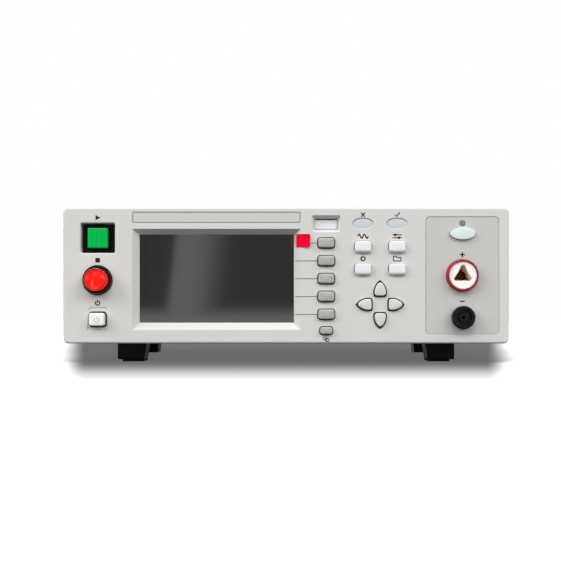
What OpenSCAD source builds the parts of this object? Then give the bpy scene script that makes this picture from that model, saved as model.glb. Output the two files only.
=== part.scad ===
// Bench withstand-voltage tester: moulded front panel with screen, keys and terminals on a sheet metal case.
// The front faces -Y, the feet stand on z = 0, and the whole is centred on X and Y.

/* [Front panel] */
// Width of the front panel
panel_w = 430; // [390:1:480]
// Height of the front panel
panel_h = 131; // [129:1:150]
// Depth of the skirt that the case slides into
panel_d = 24; // [22:1:32]
// Thickness of the panel's face
face_t = 3; // [2.5:0.5:4]
// Thickness of the skirt
skirt_t = 3; // [2:0.5:4]
// Radius of the panel's corners, seen from the front
panel_corner_r = 5; // [5:0.5:8]
// Radius of the panel's front edge
panel_edge_r = 2; // [1:0.5:3]
// Radius of the posts that the case is screwed to
post_r = 4.5; // [4:0.5:6]
// Distance of the corner posts from the panel's sides
post_inset_x = 11; // [10.5:0.5:12]
// Distance of the posts from the panel's top and bottom edges
post_inset_z = 9; // [8.5:0.5:10]

/* [Screen] */
// From the panel's left edge to the screen's frame
screen_x = 66.8; // [66:0.2:72]
// From the panel's bottom edge to the screen's frame
screen_z = 13; // [10:0.5:14]
// Width of the field of keys between the screen's frame and the output plate
key_field_w = 120.5; // [110:0.5:140]
// Width of the frame's bevel at the sides
bevel_side = 6.3; // [4:0.1:9]
// Width of the frame's bevel at the top
bevel_top = 5; // [4:0.1:9]
// Width of the frame's bevel at the bottom
bevel_bottom = 7; // [4:0.1:9]
// Depth of the bevel
bevel_d = 6.5; // [4:0.5:8]
// Thickness of the screen's glass
glass_t = 1.5; // [1:0.1:2]
// How far the glass reaches behind the frame
glass_lap = 3; // [2:0.5:3.5]
// Thickness of the display module behind the glass
display_t = 8; // [6:0.5:10]
// Height of the bare nameplate above the screen
nameplate_h = 10.8; // [8:0.1:12]
// From the panel's top edge to the nameplate
nameplate_inset = 4.2; // [3:0.1:6]
// Gap between the screen's frame and the nameplate
nameplate_gap = 5.5; // [4:0.1:7]
// How far the film's red pull tab reaches over the panel's face
tab_reach = 10.2; // [8:0.1:11]
// Height of the film's red pull tab
tab_h = 12.6; // [9:0.1:14]

/* [Start, stop and power buttons] */
// From the panel's left edge to the middle of the three buttons
button_x = 33.6; // [32:0.1:36]
// Height of the start button's middle above the layout's base line
start_z = 101.6; // [100:0.1:103]
// Width of the start button's well
well_w = 33; // [29:0.5:34]
// Height of the start button's well
well_h = 28.7; // [27:0.1:29]
// Depth of the start button's well
well_d = 13; // [10:0.5:14]
// Side of the square start button
start_side = 20.6; // [18:0.1:23]
// Height of the stop button's middle above the layout's base line
stop_z = 61.1; // [58:0.1:63]
// Radius of the stop button's bezel
stop_bezel_r = 14.5; // [14:0.1:16]
// Radius of the stop button
stop_r = 11.2; // [9:0.1:11.5]
// How far the stop button stands out of the panel
stop_proud = 14; // [10:0.5:18]
// Height of the power button's middle above the layout's base line
power_z = 23.2; // [21:0.1:26]
// Width of the power button
power_w = 14.6; // [12:0.1:16]
// Height of the power button
power_h = 12.4; // [10:0.1:14]
// How far the power button stands out of the panel
power_proud = 7; // [5:0.5:9]
// Travel of the start and stop buttons
button_travel = 3; // [2:0.5:4]
// Travel of the power button
power_travel = 4; // [2:0.5:5]

/* [Keys] */
// How far the keys stand out of the panel
key_proud = 3.5; // [2.5:0.5:5]
// Travel of the keys
key_travel = 1.5; // [1:0.25:2]
// Gap around a key in its hole
key_gap = 0.4; // [0.3:0.1:0.6]
// Radius of a key's corners
key_r = 2.8; // [2:0.1:3.4]
// From the screen's frame to the middle of the soft keys
soft_key_x = 24.8; // [24:0.1:28]
// Height of the top soft key's middle above the layout's base line
soft_key_z = 96.8; // [95:0.1:98]
// Distance from one soft key to the next
soft_key_pitch = 17.2; // [16:0.1:17.5]
// Width of a soft key
soft_key_w = 16.4; // [13:0.1:17]
// Height of a soft key
soft_key_h = 10.4; // [8:0.1:11]
// Height of the copy key's middle above the layout's base line
copy_key_z = 12.3; // [11:0.1:13]
// Width of the copy key
copy_key_w = 12.6; // [10:0.1:14]
// Height of the copy key
copy_key_h = 8; // [7:0.1:8.4]
// From the soft keys' middle to the middle of the first row of menu keys
menu_key_x = 35.4; // [34:0.1:40]
// Height of the upper menu keys' middle above the layout's base line
menu_key_z = 93.7; // [90:0.1:96]
// Distance between the two columns of menu keys
menu_pitch_x = 32.9; // [28:0.1:34]
// Distance between the two rows of menu keys
menu_pitch_z = 21.6; // [18:0.1:22]
// Width of a menu key
menu_key_w = 16.2; // [13:0.1:18]
// Height of a menu key
menu_key_h = 9.8; // [8:0.1:11]
// Height of the middle of the arrow keys above the layout's base line
arrow_z = 37.4; // [34:0.1:39]
// From the middle of the four arrow keys to a key's flat end
arrow_start = 7.5; // [7:0.1:9]
// Length of an arrow key
arrow_l = 15.8; // [13:0.1:16]
// Width of an arrow key
arrow_w = 12.4; // [11:0.1:13]

/* [Lamps] */
// Height of the two result lamps above the layout's base line
lamp_z = 115.9; // [113:0.1:117]
// Width of a result lamp
lamp_w = 19.2; // [16:0.1:22]
// Height of a result lamp
lamp_h = 9; // [7:0.1:10]
// Height of the high-voltage lamp's middle above the layout's base line
hv_lamp_z = 106.1; // [102:0.1:108]
// Width of the high-voltage lamp
hv_lamp_w = 24.2; // [20:0.1:28]
// Height of the high-voltage lamp
hv_lamp_h = 12; // [9:0.1:14]
// How far the high-voltage lamp stands out of the panel
hv_lamp_proud = 3; // [1:0.5:5]

/* [Terminals] */
// From the panel's right edge to the output plate
output_inset = 9.6; // [8:0.1:12]
// Height of the output plate's lower edge above the layout's base line
output_z = 8.7; // [7:0.1:10]
// Width of the output plate
output_w = 70.9; // [66:0.1:74]
// Height of the output plate
output_h = 113.5; // [110:0.1:114]
// Radius of the output plate's corners
output_r = 4; // [2:0.5:6]
// Height of the high-voltage socket's middle above the layout's base line
socket_z = 65.6; // [62:0.1:68]
// Outer radius of the socket's red ring
ring_r = 16; // [15:0.1:18]
// Radius of the socket's white insulator
insulator_r = 13.5; // [12.5:0.1:14.5]
// How far the ring stands out of the output plate
ring_proud = 6.4; // [4:0.2:9]
// Radius of the three lobes of the socket's hole
lobe_r = 3.2; // [2.8:0.1:3.6]
// Distance of the lobes from the socket's axis
lobe_d = 5.8; // [5:0.1:6.4]
// Height of the return jack's middle above the layout's base line
jack_z = 25; // [23:0.1:27]
// Radius of the return jack's head
jack_r = 11.2; // [10:0.1:12.5]
// How far the return jack stands out of the output plate
jack_proud = 9.4; // [6:0.2:12]
// Radius of the bore that takes a test plug
plug_r = 2; // [1.9:0.05:2.1]
// Length of the bore that takes a test plug
plug_l = 26; // [20:1:30]

/* [USB socket] */
// Height of the USB recess's middle above the layout's base line
usb_z = 115.4; // [115:0.1:116]
// Width of the USB recess at the panel's face
usb_w = 28; // [26:0.5:30]
// Height of the USB recess at the panel's face
usb_h = 16.4; // [15.6:0.2:17]
// Width of the recess's sloping walls
usb_slope = 3; // [2:0.1:3.2]
// Depth of the recess
usb_d = 5; // [4:0.5:5.5]
// Thickness of the flap over the socket
flap_t = 1.6; // [1.2:0.1:1.8]

/* [Case] */
// Depth from the panel's face to the outside of the rear panel
case_depth = 350; // [335:5:450]
// Thickness of the sheet of the cover and the chassis
sheet_t = 1.5; // [1:0.25:2]
// Thickness of the rear panel
rear_t = 2; // [1.5:0.5:3]
// Length of the case inside the panel's skirt
case_overlap = 8; // [6:1:9]
// Height of the chassis's side walls
wall_h = 34; // [28:1:50]
// Length of the cooling slots in the cover's sides
vent_l = 46; // [20:1:50]
// Width of a cooling slot
vent_w = 3; // [2:0.5:4]
// Distance from one cooling slot to the next
vent_pitch = 8; // [6:0.5:12]
// Number of cooling slots in a group
vent_count = 11; // [4:1:12]

/* [Feet] */
// Height of the case's underside above the table
foot_h = 21.8; // [16:0.2:30]
// Width of a foot at its lower end
foot_w = 26.4; // [22:0.2:32]
// How much wider a foot is at the case
foot_flare = 3; // [0:0.5:5]
// Length of a foot from front to back
foot_l = 30; // [24:1:40]
// Thickness of a foot's rubber pad
pad_t = 2; // [1:0.5:3]
// From the middle of the case to the middle of a front foot
front_foot_x = 154; // [140:1:165]
// From the middle of the case to the middle of a rear foot
rear_foot_x = 172; // [140:1:180]
// From the panel's face to the front feet
front_foot_inset = 30; // [26:1:60]
// From the rear panel to the rear feet
rear_foot_inset = 34; // [20:1:80]

/* [Rear] */
// Side of the square fan
fan_side = 80; // [70:1:92]
// Thickness of the fan
fan_t = 25; // [20:1:32]
// Thickness of the fan's frame beside its bore
fan_wall = 1.5; // [1.5:0.5:6]
// Number of fan blades
blade_count = 7; // [5:1:9]
// From the middle of the case to the fan's middle
fan_x = 125; // [115:1:130]
// From the middle of the case to the mains inlet's middle
inlet_x = -150; // [-155:1:-100]
// Width of the inlet's flange
inlet_w = 31; // [30:0.5:34]
// Height of the inlet's flange
inlet_h = 38; // [38:0.5:42]
// Length of the fuse drawer
drawer_l = 20; // [16:1:21]
// Radius of the earth stud
stud_r = 2.5; // [2:0.5:3]
// How far the earth stud stands out of the rear panel
stud_l = 14; // [12:0.5:20]

/* [Hidden] */
$fn = 64;

// Clearances: around what moves, around what is only pushed in, and how far cuts run past a surface
run_gap = 0.3;
seat_gap = 0.2;
pin_gap = 0.1;
cut = 1;

// The case inside the panel's skirt
skirt_gap = 0.3;
skirt_corner_r = panel_corner_r - skirt_t;
case_w = panel_w - 2 * (skirt_t + skirt_gap);
case_h = panel_h - 2 * (skirt_t + skirt_gap);
case_bottom = foot_h;
case_top = case_bottom + case_h;
case_mid_z = (case_bottom + case_top) / 2;
case_start = panel_d - case_overlap;
case_end = case_depth - rear_t;
floor_z = case_bottom + sheet_t;
wall_x = case_w / 2 - sheet_t - seat_gap;

// The panel's place: its face is at face_y, and what stands out at both ends is centred on y = 0
panel_bottom = case_bottom - skirt_t - skirt_gap;
panel_mid_z = panel_bottom + panel_h / 2;
panel_left = -panel_w / 2;
face_y = stop_proud - (stop_proud + case_depth + stud_l) / 2;

// Buttons, keys, lamps and terminals keep their distances, centred on the panel's height
layout_h = 131;
layout_bottom = panel_mid_z - layout_h / 2;

// The screen's frame takes the width that the buttons, the keys and the output plate leave,
// and the height that the nameplate leaves
screen_w = panel_w - screen_x - key_field_w - output_w - output_inset;
screen_h = panel_h - screen_z - nameplate_gap - nameplate_h - nameplate_inset;

// Posts between the panel and the case's tabs
post_xs = [panel_left + post_inset_x, panel_left + screen_x + screen_w / 2, -panel_left - post_inset_x];
post_zs = [panel_bottom + post_inset_z, panel_bottom + panel_h - post_inset_z];
tab_plate_w = 2 * (wall_x + post_xs[0]);
rear_tab_inset = 14;
rear_tab_xs = [rear_tab_inset - case_w / 2, 0, case_w / 2 - rear_tab_inset];
tab_plate_h = post_inset_z - skirt_t - skirt_gap + post_r;

// Cooling slots, above the middle of the sides and in from the case's ends
vent_rise = 12;
vent_inset = 50;

// Screws in the cover's sides
side_screw_inset = 60;
side_screw_ys = [
  face_y + case_start + side_screw_inset,
  face_y + (case_start + case_end) / 2,
  face_y + case_end - side_screw_inset
];
side_screw_z = case_bottom + wall_h / 2;

// Screws: M4 for the case, M3 for the boards, each as [shank radius, shank length, head radius, head height]
case_screw = [2, 6, 4, 2.2];
board_screw = [1.5, 7, 2.75, 1.8];
screw_gap = 0.15;
case_hole_r = case_screw[0] + screw_gap;
board_hole_r = board_screw[0] + screw_gap;

// Screen
screen_mid_x = panel_left + screen_x + screen_w / 2;
screen_mid_z = panel_bottom + screen_z + screen_h / 2;
window_w = screen_w - 2 * bevel_side;
window_h = screen_h - bevel_top - bevel_bottom;
window_mid_z = screen_mid_z + (bevel_bottom - bevel_top) / 2;
glass_w = window_w + 2 * glass_lap;
glass_h = window_h + 2 * glass_lap;
module_back = bevel_d + glass_t + display_t;
ear_l = 9.5;
ear_t = 1.5;
ear_h = 12;
ear_boss_r = 4;
ear_hole_out = 5.5;
ear_x = glass_w / 2 + ear_hole_out;
ear_z = window_h / 3;
plate_pocket_d = 0.6;
plate_t = 0.4;
nameplate_w = screen_w + 0.2;
nameplate_mid_z = panel_bottom + screen_z + screen_h + nameplate_gap + nameplate_h / 2;
nameplate_r = 0.6;

// Pull tab: a bent strip from the glass, up the bevel and over the panel's face
tab_sheet_t = 0.4;
tab_lift = 1.8;
tab_foot = 3;
tab_right = screen_mid_x + screen_w / 2 + tab_reach;
tab_top_z = window_mid_z + window_h / 2;

// Buttons
start_x = panel_left + button_x;
start_mid_z = layout_bottom + start_z;
stop_mid_z = layout_bottom + stop_z;
power_mid_z = layout_bottom + power_z;
well_wall = 2;
well_r = 1.5;
start_flange_t = 2;
start_body_l = 25;
start_body_wall = 2;
start_body_side = start_side + 2 * start_body_wall;
start_lens_t = 4;
start_lens_proud = 0.5;
plunger_l = 21;
plunger_back = plunger_l + start_lens_t - start_lens_proud;
start_body_back = well_d + start_flange_t + start_body_l;
button_r = 1;
button_edge_r = 0.7;
bezel_t = 3;
bezel_wall = 1.8;
bezel_neck_r = stop_r + bezel_wall;
bezel_neck_l = 10;
stop_body_wall = 3.5;
stop_body_r = bezel_neck_r + stop_body_wall;
stop_body_l = 31;
stop_plunger_l = 16;
stop_edge_r = 1.2;
stop_taper = 0.6;
stop_top_r = stop_r - stop_taper;
power_r = 1.8;
power_edge_r = 0.8;
power_plunger_l = 12;
power_body_l = 34;
power_body_wall = 2.2;
dish_side = 3;
dish_end = 6;
dish_w = power_w + 2 * dish_side;
dish_h = power_h + 2 * dish_end;
dish_d = 1;
dish_slope = 1.6;
dish_r = 4;

// Keys and the board behind them
flange_w = 1.2;
flange_t = 1.5;
key_edge_r = 0.8;
board_depth = 14;
board_t = 1.6;
switch_side = 6;
switch_t = 3.5;
switch_pin_r = 1.7;
switch_pin_l = 1.5;
stem_end = board_depth - switch_t - switch_pin_l - key_travel - run_gap;
stem_r = 2.5;
soft_x = screen_mid_x + screen_w / 2 + soft_key_x;
soft_zs = [for (i = [0:4]) layout_bottom + soft_key_z - i * soft_key_pitch];
copy_mid_z = layout_bottom + copy_key_z;
menu_xs = [for (i = [0:1]) soft_x + menu_key_x + i * menu_pitch_x];
menu_zs = [for (i = [0:1]) layout_bottom + menu_key_z - i * menu_pitch_z];
arrow_x = (menu_xs[0] + menu_xs[1]) / 2;
arrow_mid_z = layout_bottom + arrow_z;
arrow_reach = arrow_start + arrow_l / 2;
arrow_shoulder = 3.8;
arrow_base_r = 2.6;
arrow_places = [
  [arrow_x, arrow_mid_z + arrow_reach],
  [arrow_x, arrow_mid_z - arrow_reach],
  [arrow_x - arrow_reach, arrow_mid_z],
  [arrow_x + arrow_reach, arrow_mid_z]
];
arrow_angles = [0, 180, 90, -90];
key_places = concat(
  [for (z = soft_zs) [soft_x, z]],
  [[soft_x, copy_mid_z]],
  [for (z = menu_zs, x = menu_xs) [x, z]],
  arrow_places
);

// Front board, on four bosses of the panel
board_boss_r = 3.2;
board_boss_out = 14.3;
board_low_inset = 10;
board_top_inset = 9.1;
boss_under_usb = 7;
board_left = soft_x - board_boss_out;
board_right = menu_xs[1] + board_boss_out;
board_low = panel_bottom + board_low_inset;
board_high = panel_bottom + panel_h - board_top_inset;
boss_left_high = layout_bottom + usb_z - usb_h / 2 - boss_under_usb;
board_bosses = [
  [board_left, board_low], [board_right, board_low], [board_left, boss_left_high], [board_right, board_high]
];
board_margin = 3.2;

// Lamps
lamp_mid_z = layout_bottom + lamp_z;
lamp_sunk = 0.5;
lamp_rim = 1;
lamp_pipe = [8, 4];
hv_lamp_mid_z = layout_bottom + hv_lamp_z;
hv_lamp_l = 14;

// Terminals
output_x = -panel_left - output_inset - output_w / 2;
output_mid_z = layout_bottom + output_z + output_h / 2;
output_pocket_d = 1.2;
output_t = 0.8;
output_face = output_pocket_d - output_t;
socket_mid_z = layout_bottom + socket_z;
ring_wall_gap = 0.3;
insulator_sunk = 1.6;
insulator_front = ring_proud - insulator_sunk;
insulator_flange_w = 3.5;
insulator_flange_r = insulator_r + insulator_flange_w;
insulator_flange_t = 3;
insulator_l = 34;
insulator_back_r = 11;
cavity_l = 22;
contact_r = 4;
contact_l = 8;
contact_stem_r = 2.4;
contact_stem_l = 18;
jack_mid_z = layout_bottom + jack_z;
jack_barrel_r = 7;
jack_barrel_l = 26;
jack_groove = [4.5, 7.6, 5];
jack_post_sunk = 1.5;
jack_edge_r = 1.2;
sleeve_r = 3.2;
sleeve_sunk = 2.5;
sleeve_tail_r = 2;
sleeve_tail_l = 10;
nut_r = 11;
nut_t = 4;

// USB recess, its flap and its socket
usb_x = soft_x;
usb_mid_z = layout_bottom + usb_z;
usb_corner_r = 2;
usb_tub_wall = 1.5;
usb_tub_d = usb_d + 4;
throat_w = usb_w - 2 * usb_slope;
throat_h = usb_h - 2 * usb_slope;
flap_w = throat_w - 2 * run_gap;
flap_axis_z = usb_mid_z - throat_h / 2 + run_gap + flap_t / 2;
flap_axis_depth = usb_d + flap_t / 2;
flap_h = throat_h - run_gap - flap_t / 2 - 1.1;
flap_pin_r = 0.6;
flap_pin_l = 1.2;
usb_shell = [13.1, 5.7];
usb_shell_t = 0.5;
usb_tongue = [10, 1.8];

// Feet
front_foot_y = face_y + front_foot_inset + foot_l / 2;
rear_foot_y = face_y + case_depth - rear_foot_inset - foot_l / 2;
foot_web = 4.3;
foot_screw_room = 0.6;
pad_step = 5;
pad_w = foot_w - pad_step;
foot_places = [
  [-front_foot_x, front_foot_y], [front_foot_x, front_foot_y],
  [-rear_foot_x, rear_foot_y], [rear_foot_x, rear_foot_y]
];

// Fan
fan_bore_r = fan_side / 2 - fan_wall;
fan_hole_inset = 4.25;
fan_hole = fan_side / 2 - fan_hole_inset;
fan_corner_r = 4;
fan_hub_r = 19.5;
fan_disc_r = 20;
fan_disc_t = 3;
fan_spindle_r = 1.5;
fan_arm_w = 6;
blade_chord = 20;
blade_t = 1.6;
blade_pitch = 40;
blade_gap = 0.9;
hub_end_gap = 4;
hub_cap_t = 2;
rotor_start = fan_disc_t + run_gap;
hub_l = fan_t - rotor_start - hub_end_gap;
spindle_l = rotor_start + hub_l - hub_cap_t - run_gap;
guard_t = 1.6;
guard_ring_w = 1.6;
guard_rings = 5;
guard_inset = 1;
guard_ear_r = 5;

// Mains inlet and fuse drawer
inlet_rise = 36;
inlet_mid_z = case_bottom + inlet_rise;
inlet_flange_t = 3;
inlet_body_l = 24;
inlet_step = 1.5;
inlet_cavity = [24.4, 16.4, 16];
inlet_cavity_z = 8;
inlet_chamfer = 4;
inlet_pin = [2, 4, 11];
inlet_pin_x = 7;
inlet_pin_z = 2;
drawer = [20, 8, drawer_l];
drawer_z = -10.5;
drawer_lip_t = 2.4;
drawer_lip_over = 1.5;

// Connectors of the rear panel
stud_from_inlet = 35;
stud_rise = 30;
stud_x = inlet_x - stud_from_inlet;
stud_z = case_bottom + stud_rise;
stud_nut_r = 4.6;
stud_nut_t = 4;
stud_inside = 8;
port_rise = 70;
port_z = case_bottom + port_rise;
serial_x = -20;
handler_x = -90;
serial_w = 17;
handler_w = 40;
dsub_h = 8.6;
dsub_rake = 1.2;
dsub_proud = 6;
dsub_flange_t = 1;
dsub_flange_h = 12.5;
dsub_flange_over = 7;
dsub_body_l = 10;
dsub_post_r = 2.6;
dsub_post_l = 5;

// Inside the case
toroid_r = 52;
toroid_bore_r = 18;
toroid_h = 48;
toroid_edge_r = 8;
toroid_from_wall = 90;
toroid_at = [toroid_from_wall - wall_x, 200];
core = [92, 34, 78];
coil = [62, 72, 54];
hv_transformer_from_wall = 102;
hv_transformer_at = [wall_x - hv_transformer_from_wall, 150];
main_board_size = [130, 70];
main_board_x = 5;
main_board_from_rear = 75;
main_board_y = face_y + case_end - main_board_from_rear;
standoff_h = 8;
standoff_r = 3;
main_board_hole = 5;
sink_size = [60, 40, 30];
sink_fins = 7;
sink_fin_t = 2.5;
sink_base_t = 5;

// Draws facing the viewer: x to the right, y up and z out of the panel, with z = 0 depth behind the face
module facing(x, z, depth) {
  translate([x, face_y + depth, z])
    rotate([90, 0, 0])
      children();
}

// Draws facing backwards: y up and z out of the rear, with z = 0 depth behind the panel's face
module facing_back(x, z, depth) {
  translate([x, face_y + depth, z])
    rotate([90, 0, 180])
      children();
}

// Rectangle with round corners, about the origin
module rounded_rect(w, h, r) {
  square([w - 2 * r, h], center = true);
  square([w, h - 2 * r], center = true);
  for (sx = [-1, 1], sy = [-1, 1])
    translate([sx * (w / 2 - r), sy * (h / 2 - r)])
      circle(r);
}

// Ellipse with half axes a and b
module ellipse(a, b) {
  scale([a, b])
    circle(1);
}

// Slab with round corners of radius r and a front edge of radius e, its back on z = 0
module soft_slab(w, h, d, r, e) {
  module rim() {
    square([r, d - e]);
    square([r - e, d]);
    translate([r - e, d - e])
      intersection() {
        circle(e);
        square(e);
      }
  }
  module strip(half, length) {
    translate([half - r, length / 2, 0])
      rotate([90, 0, 0])
        linear_extrude(length)
          rim();
  }
  translate([r - w / 2, r - h / 2, 0])
    cube([w - 2 * r, h - 2 * r, d]);
  for (turn = [0, 180]) {
    rotate(turn)
      strip(w / 2, h - 2 * r);
    rotate(turn + 90)
      strip(h / 2, w - 2 * r);
    rotate(turn)
      translate([w / 2 - r, h / 2 - r, 0])
        rotate_extrude(angle = 90)
          rim();
    rotate(turn)
      translate([r - w / 2, h / 2 - r, 0])
        rotate(90)
          rotate_extrude(angle = 90)
            rim();
  }
}

// Cutter with walls that slope inwards from a rounded outline at z = 0 to a smaller one at z = -d
module sloped_cut(w, h, r, slope, d) {
  thin = 0.01;
  hull() {
    linear_extrude(cut)
      rounded_rect(w, h, r, $fn = 32);
    translate([0, 0, -d])
      linear_extrude(thin)
        rounded_rect(w - 2 * slope, h - 2 * slope, r / 2, $fn = 32);
  }
}

// Pan-head screw: the head stands on z = 0 and the shank goes down
module screw(size) {
  cylinder(r = size[2], h = size[3]);
  translate([0, 0, -size[1]])
    cylinder(r = size[0], h = size[1] + size[3] / 2);
}

// Outline of an arrow key, pointing up: a pointed arch on a base with round corners, inset all round
module arrow_outline(inset) {
  half = arrow_w / 2 - inset;
  tip = arrow_l - arrow_shoulder - inset;
  arch_r = (half * half + tip * tip) / (2 * half);
  translate([0, -arrow_l / 2])
    intersection() {
      translate([half - arch_r, arrow_shoulder])
        circle(arch_r);
      translate([arch_r - half, arrow_shoulder])
        circle(arch_r);
      translate([0, inset + arrow_l])
        rounded_rect(2 * half, 2 * arrow_l, arrow_base_r - inset);
    }
}

// Plain key: a soft cap through the panel, a flange behind it and a stem towards its switch
module key(x, z, w, h) {
  facing(x, z, face_t + run_gap) {
    soft_slab(w, h, face_t + run_gap + key_proud, key_r, key_edge_r);
    translate([0, 0, -flange_t])
      linear_extrude(flange_t)
        rounded_rect(w + 2 * flange_w, h + 2 * flange_w, key_r + flange_w);
    translate([0, 0, face_t + run_gap - stem_end])
      cylinder(r = stem_r, h = stem_end - face_t - run_gap - flange_t / 2);
  }
}

// Arrow key, which of the four is given by its number
module arrow_key(i) {
  facing(arrow_places[i][0], arrow_places[i][1], face_t + run_gap)
    rotate(arrow_angles[i]) {
      linear_extrude(face_t + run_gap + key_proud - key_edge_r)
        arrow_outline(0);
      linear_extrude(face_t + run_gap + key_proud)
        arrow_outline(key_edge_r);
      translate([0, 0, -flange_t])
        linear_extrude(flange_t)
          arrow_outline(-flange_w);
      translate([0, 0, face_t + run_gap - stem_end])
        cylinder(r = stem_r, h = stem_end - face_t - run_gap - flange_t / 2);
    }
}

// Front panel: face, skirt, wells, rims and bosses in one moulding
module panel_blank() {
  facing(0, panel_mid_z, panel_d)
    difference() {
      soft_slab(panel_w, panel_h, panel_d, panel_corner_r, panel_edge_r);
      translate([0, 0, -cut])
        linear_extrude(panel_d - face_t + cut)
          rounded_rect(panel_w - 2 * skirt_t, panel_h - 2 * skirt_t, skirt_corner_r);
    }
  facing(screen_mid_x, screen_mid_z, bevel_d)
    linear_extrude(bevel_d - face_t / 2)
      square([screen_w, screen_h], center = true);
  facing(start_x, start_mid_z, well_d)
    linear_extrude(well_d - face_t / 2)
      square([well_w + 2 * well_wall, well_h + 2 * well_wall], center = true);
  facing(usb_x, usb_mid_z, usb_tub_d)
    linear_extrude(usb_tub_d - face_t / 2)
      square([usb_w + 2 * usb_tub_wall, usb_h + 2 * usb_tub_wall], center = true);
  for (x = post_xs, z = post_zs)
    boss(x, z, case_start, post_r);
  for (p = board_bosses)
    boss(p[0], p[1], board_depth, board_boss_r);
  for (sx = [-1, 1], sz = [-1, 1])
    boss(screen_mid_x + sx * ear_x, window_mid_z + sz * ear_z, module_back - ear_t, ear_boss_r);
}

module boss(x, z, depth, r) {
  facing(x, z, depth)
    cylinder(r = r, h = depth - face_t / 2);
}

module boss_hole(x, z, depth, r) {
  facing(x, z, depth + cut)
    cylinder(r = r, h = depth + cut - face_t);
}

// Rectangular funnel of the screen's four bevels and the opening behind them
module screen_cut() {
  reach = cut / bevel_d;
  intersection() {
    facing(screen_mid_x, screen_mid_z, bevel_d + cut)
      linear_extrude(bevel_d + 2 * cut)
        square([screen_w + 2 * bevel_side, screen_h + 2 * bevel_bottom], center = true);
    translate([screen_mid_x, face_y, screen_mid_z - screen_h])
      linear_extrude(2 * screen_h)
        polygon([
          [-window_w / 2, bevel_d + cut], [-window_w / 2, bevel_d],
          [-screen_w / 2 - reach * bevel_side, -cut], [screen_w / 2 + reach * bevel_side, -cut],
          [window_w / 2, bevel_d], [window_w / 2, bevel_d + cut]
        ]);
    translate([screen_mid_x - screen_w, face_y, screen_mid_z])
      rotate([90, 0, 90])
        linear_extrude(2 * screen_w)
          polygon([
            [bevel_d + cut, bevel_bottom - screen_h / 2], [bevel_d, bevel_bottom - screen_h / 2],
            [-cut, -screen_h / 2 - reach * bevel_bottom], [-cut, screen_h / 2 + reach * bevel_top],
            [bevel_d, screen_h / 2 - bevel_top], [bevel_d + cut, screen_h / 2 - bevel_top]
          ]);
  }
}

module key_hole(x, z, w, h) {
  facing(x, z, face_t + cut)
    linear_extrude(face_t + 2 * cut)
      rounded_rect(w + 2 * key_gap, h + 2 * key_gap, key_r + key_gap);
}

module lamp_cut(x) {
  facing(x, lamp_mid_z, face_t + cut)
    linear_extrude(face_t + 2 * cut)
      ellipse(lamp_w / 2 + seat_gap, lamp_h / 2 + seat_gap);
}

module front_panel() {
  color("gainsboro")
    difference() {
      panel_blank();
      screen_cut();
      facing(screen_mid_x, nameplate_mid_z, plate_pocket_d)
        linear_extrude(plate_pocket_d + cut)
          rounded_rect(nameplate_w, nameplate_h, nameplate_r);
      facing(start_x, start_mid_z, well_d + cut)
        linear_extrude(well_d + 2 * cut)
          rounded_rect(well_w, well_h, well_r);
      facing(start_x, stop_mid_z, face_t + cut)
        cylinder(r = bezel_neck_r + seat_gap, h = face_t + 2 * cut);
      facing(start_x, power_mid_z, 0)
        sloped_cut(dish_w, dish_h, dish_r, dish_slope, dish_d);
      facing(start_x, power_mid_z, face_t + cut)
        linear_extrude(face_t + 2 * cut)
          rounded_rect(power_w + 2 * key_gap, power_h + 2 * key_gap, power_r + key_gap);
      for (z = soft_zs)
        key_hole(soft_x, z, soft_key_w, soft_key_h);
      key_hole(soft_x, copy_mid_z, copy_key_w, copy_key_h);
      for (x = menu_xs, z = menu_zs)
        key_hole(x, z, menu_key_w, menu_key_h);
      for (i = [0:3])
        facing(arrow_places[i][0], arrow_places[i][1], face_t + cut)
          rotate(arrow_angles[i])
            linear_extrude(face_t + 2 * cut)
              arrow_outline(-key_gap);
      for (x = menu_xs)
        lamp_cut(x);
      facing(output_x, hv_lamp_mid_z, face_t + cut)
        linear_extrude(face_t + 2 * cut)
          ellipse(hv_lamp_w / 2 + seat_gap, hv_lamp_h / 2 + seat_gap);
      facing(output_x, output_mid_z, output_pocket_d)
        linear_extrude(output_pocket_d + cut)
          rounded_rect(output_w, output_h, output_r);
      facing(output_x, socket_mid_z, face_t + cut)
        cylinder(r = insulator_r + seat_gap, h = face_t + 2 * cut);
      facing(output_x, jack_mid_z, face_t + cut)
        cylinder(r = jack_barrel_r + seat_gap, h = face_t + 2 * cut);
      facing(usb_x, usb_mid_z, 0)
        sloped_cut(usb_w, usb_h, usb_corner_r, usb_slope, usb_d);
      facing(usb_x, usb_mid_z, usb_tub_d + cut)
        linear_extrude(usb_tub_d - usb_d + 2 * cut)
          square([throat_w, throat_h], center = true);
      translate([usb_x, face_y + flap_axis_depth, flap_axis_z])
        rotate([0, 90, 0])
          cylinder(r = flap_pin_r + pin_gap, h = throat_w + 2 * (flap_pin_l + run_gap), center = true);
      for (x = post_xs, z = post_zs)
        boss_hole(x, z, case_start, case_hole_r);
      for (p = board_bosses)
        boss_hole(p[0], p[1], board_depth, board_hole_r);
      for (sx = [-1, 1], sz = [-1, 1])
        boss_hole(screen_mid_x + sx * ear_x, window_mid_z + sz * ear_z, module_back - ear_t, board_hole_r);
    }
}

module nameplate() {
  color("lightgray")
    facing(screen_mid_x, nameplate_mid_z, plate_pocket_d)
      linear_extrude(plate_t)
        rounded_rect(nameplate_w - 2 * seat_gap, nameplate_h - 2 * seat_gap, nameplate_r - seat_gap);
}

module display_glass() {
  color("dimgray")
    facing(screen_mid_x, window_mid_z, bevel_d + glass_t)
      translate([-glass_w / 2, -glass_h / 2, 0])
        cube([glass_w, glass_h, glass_t]);
}

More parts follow.
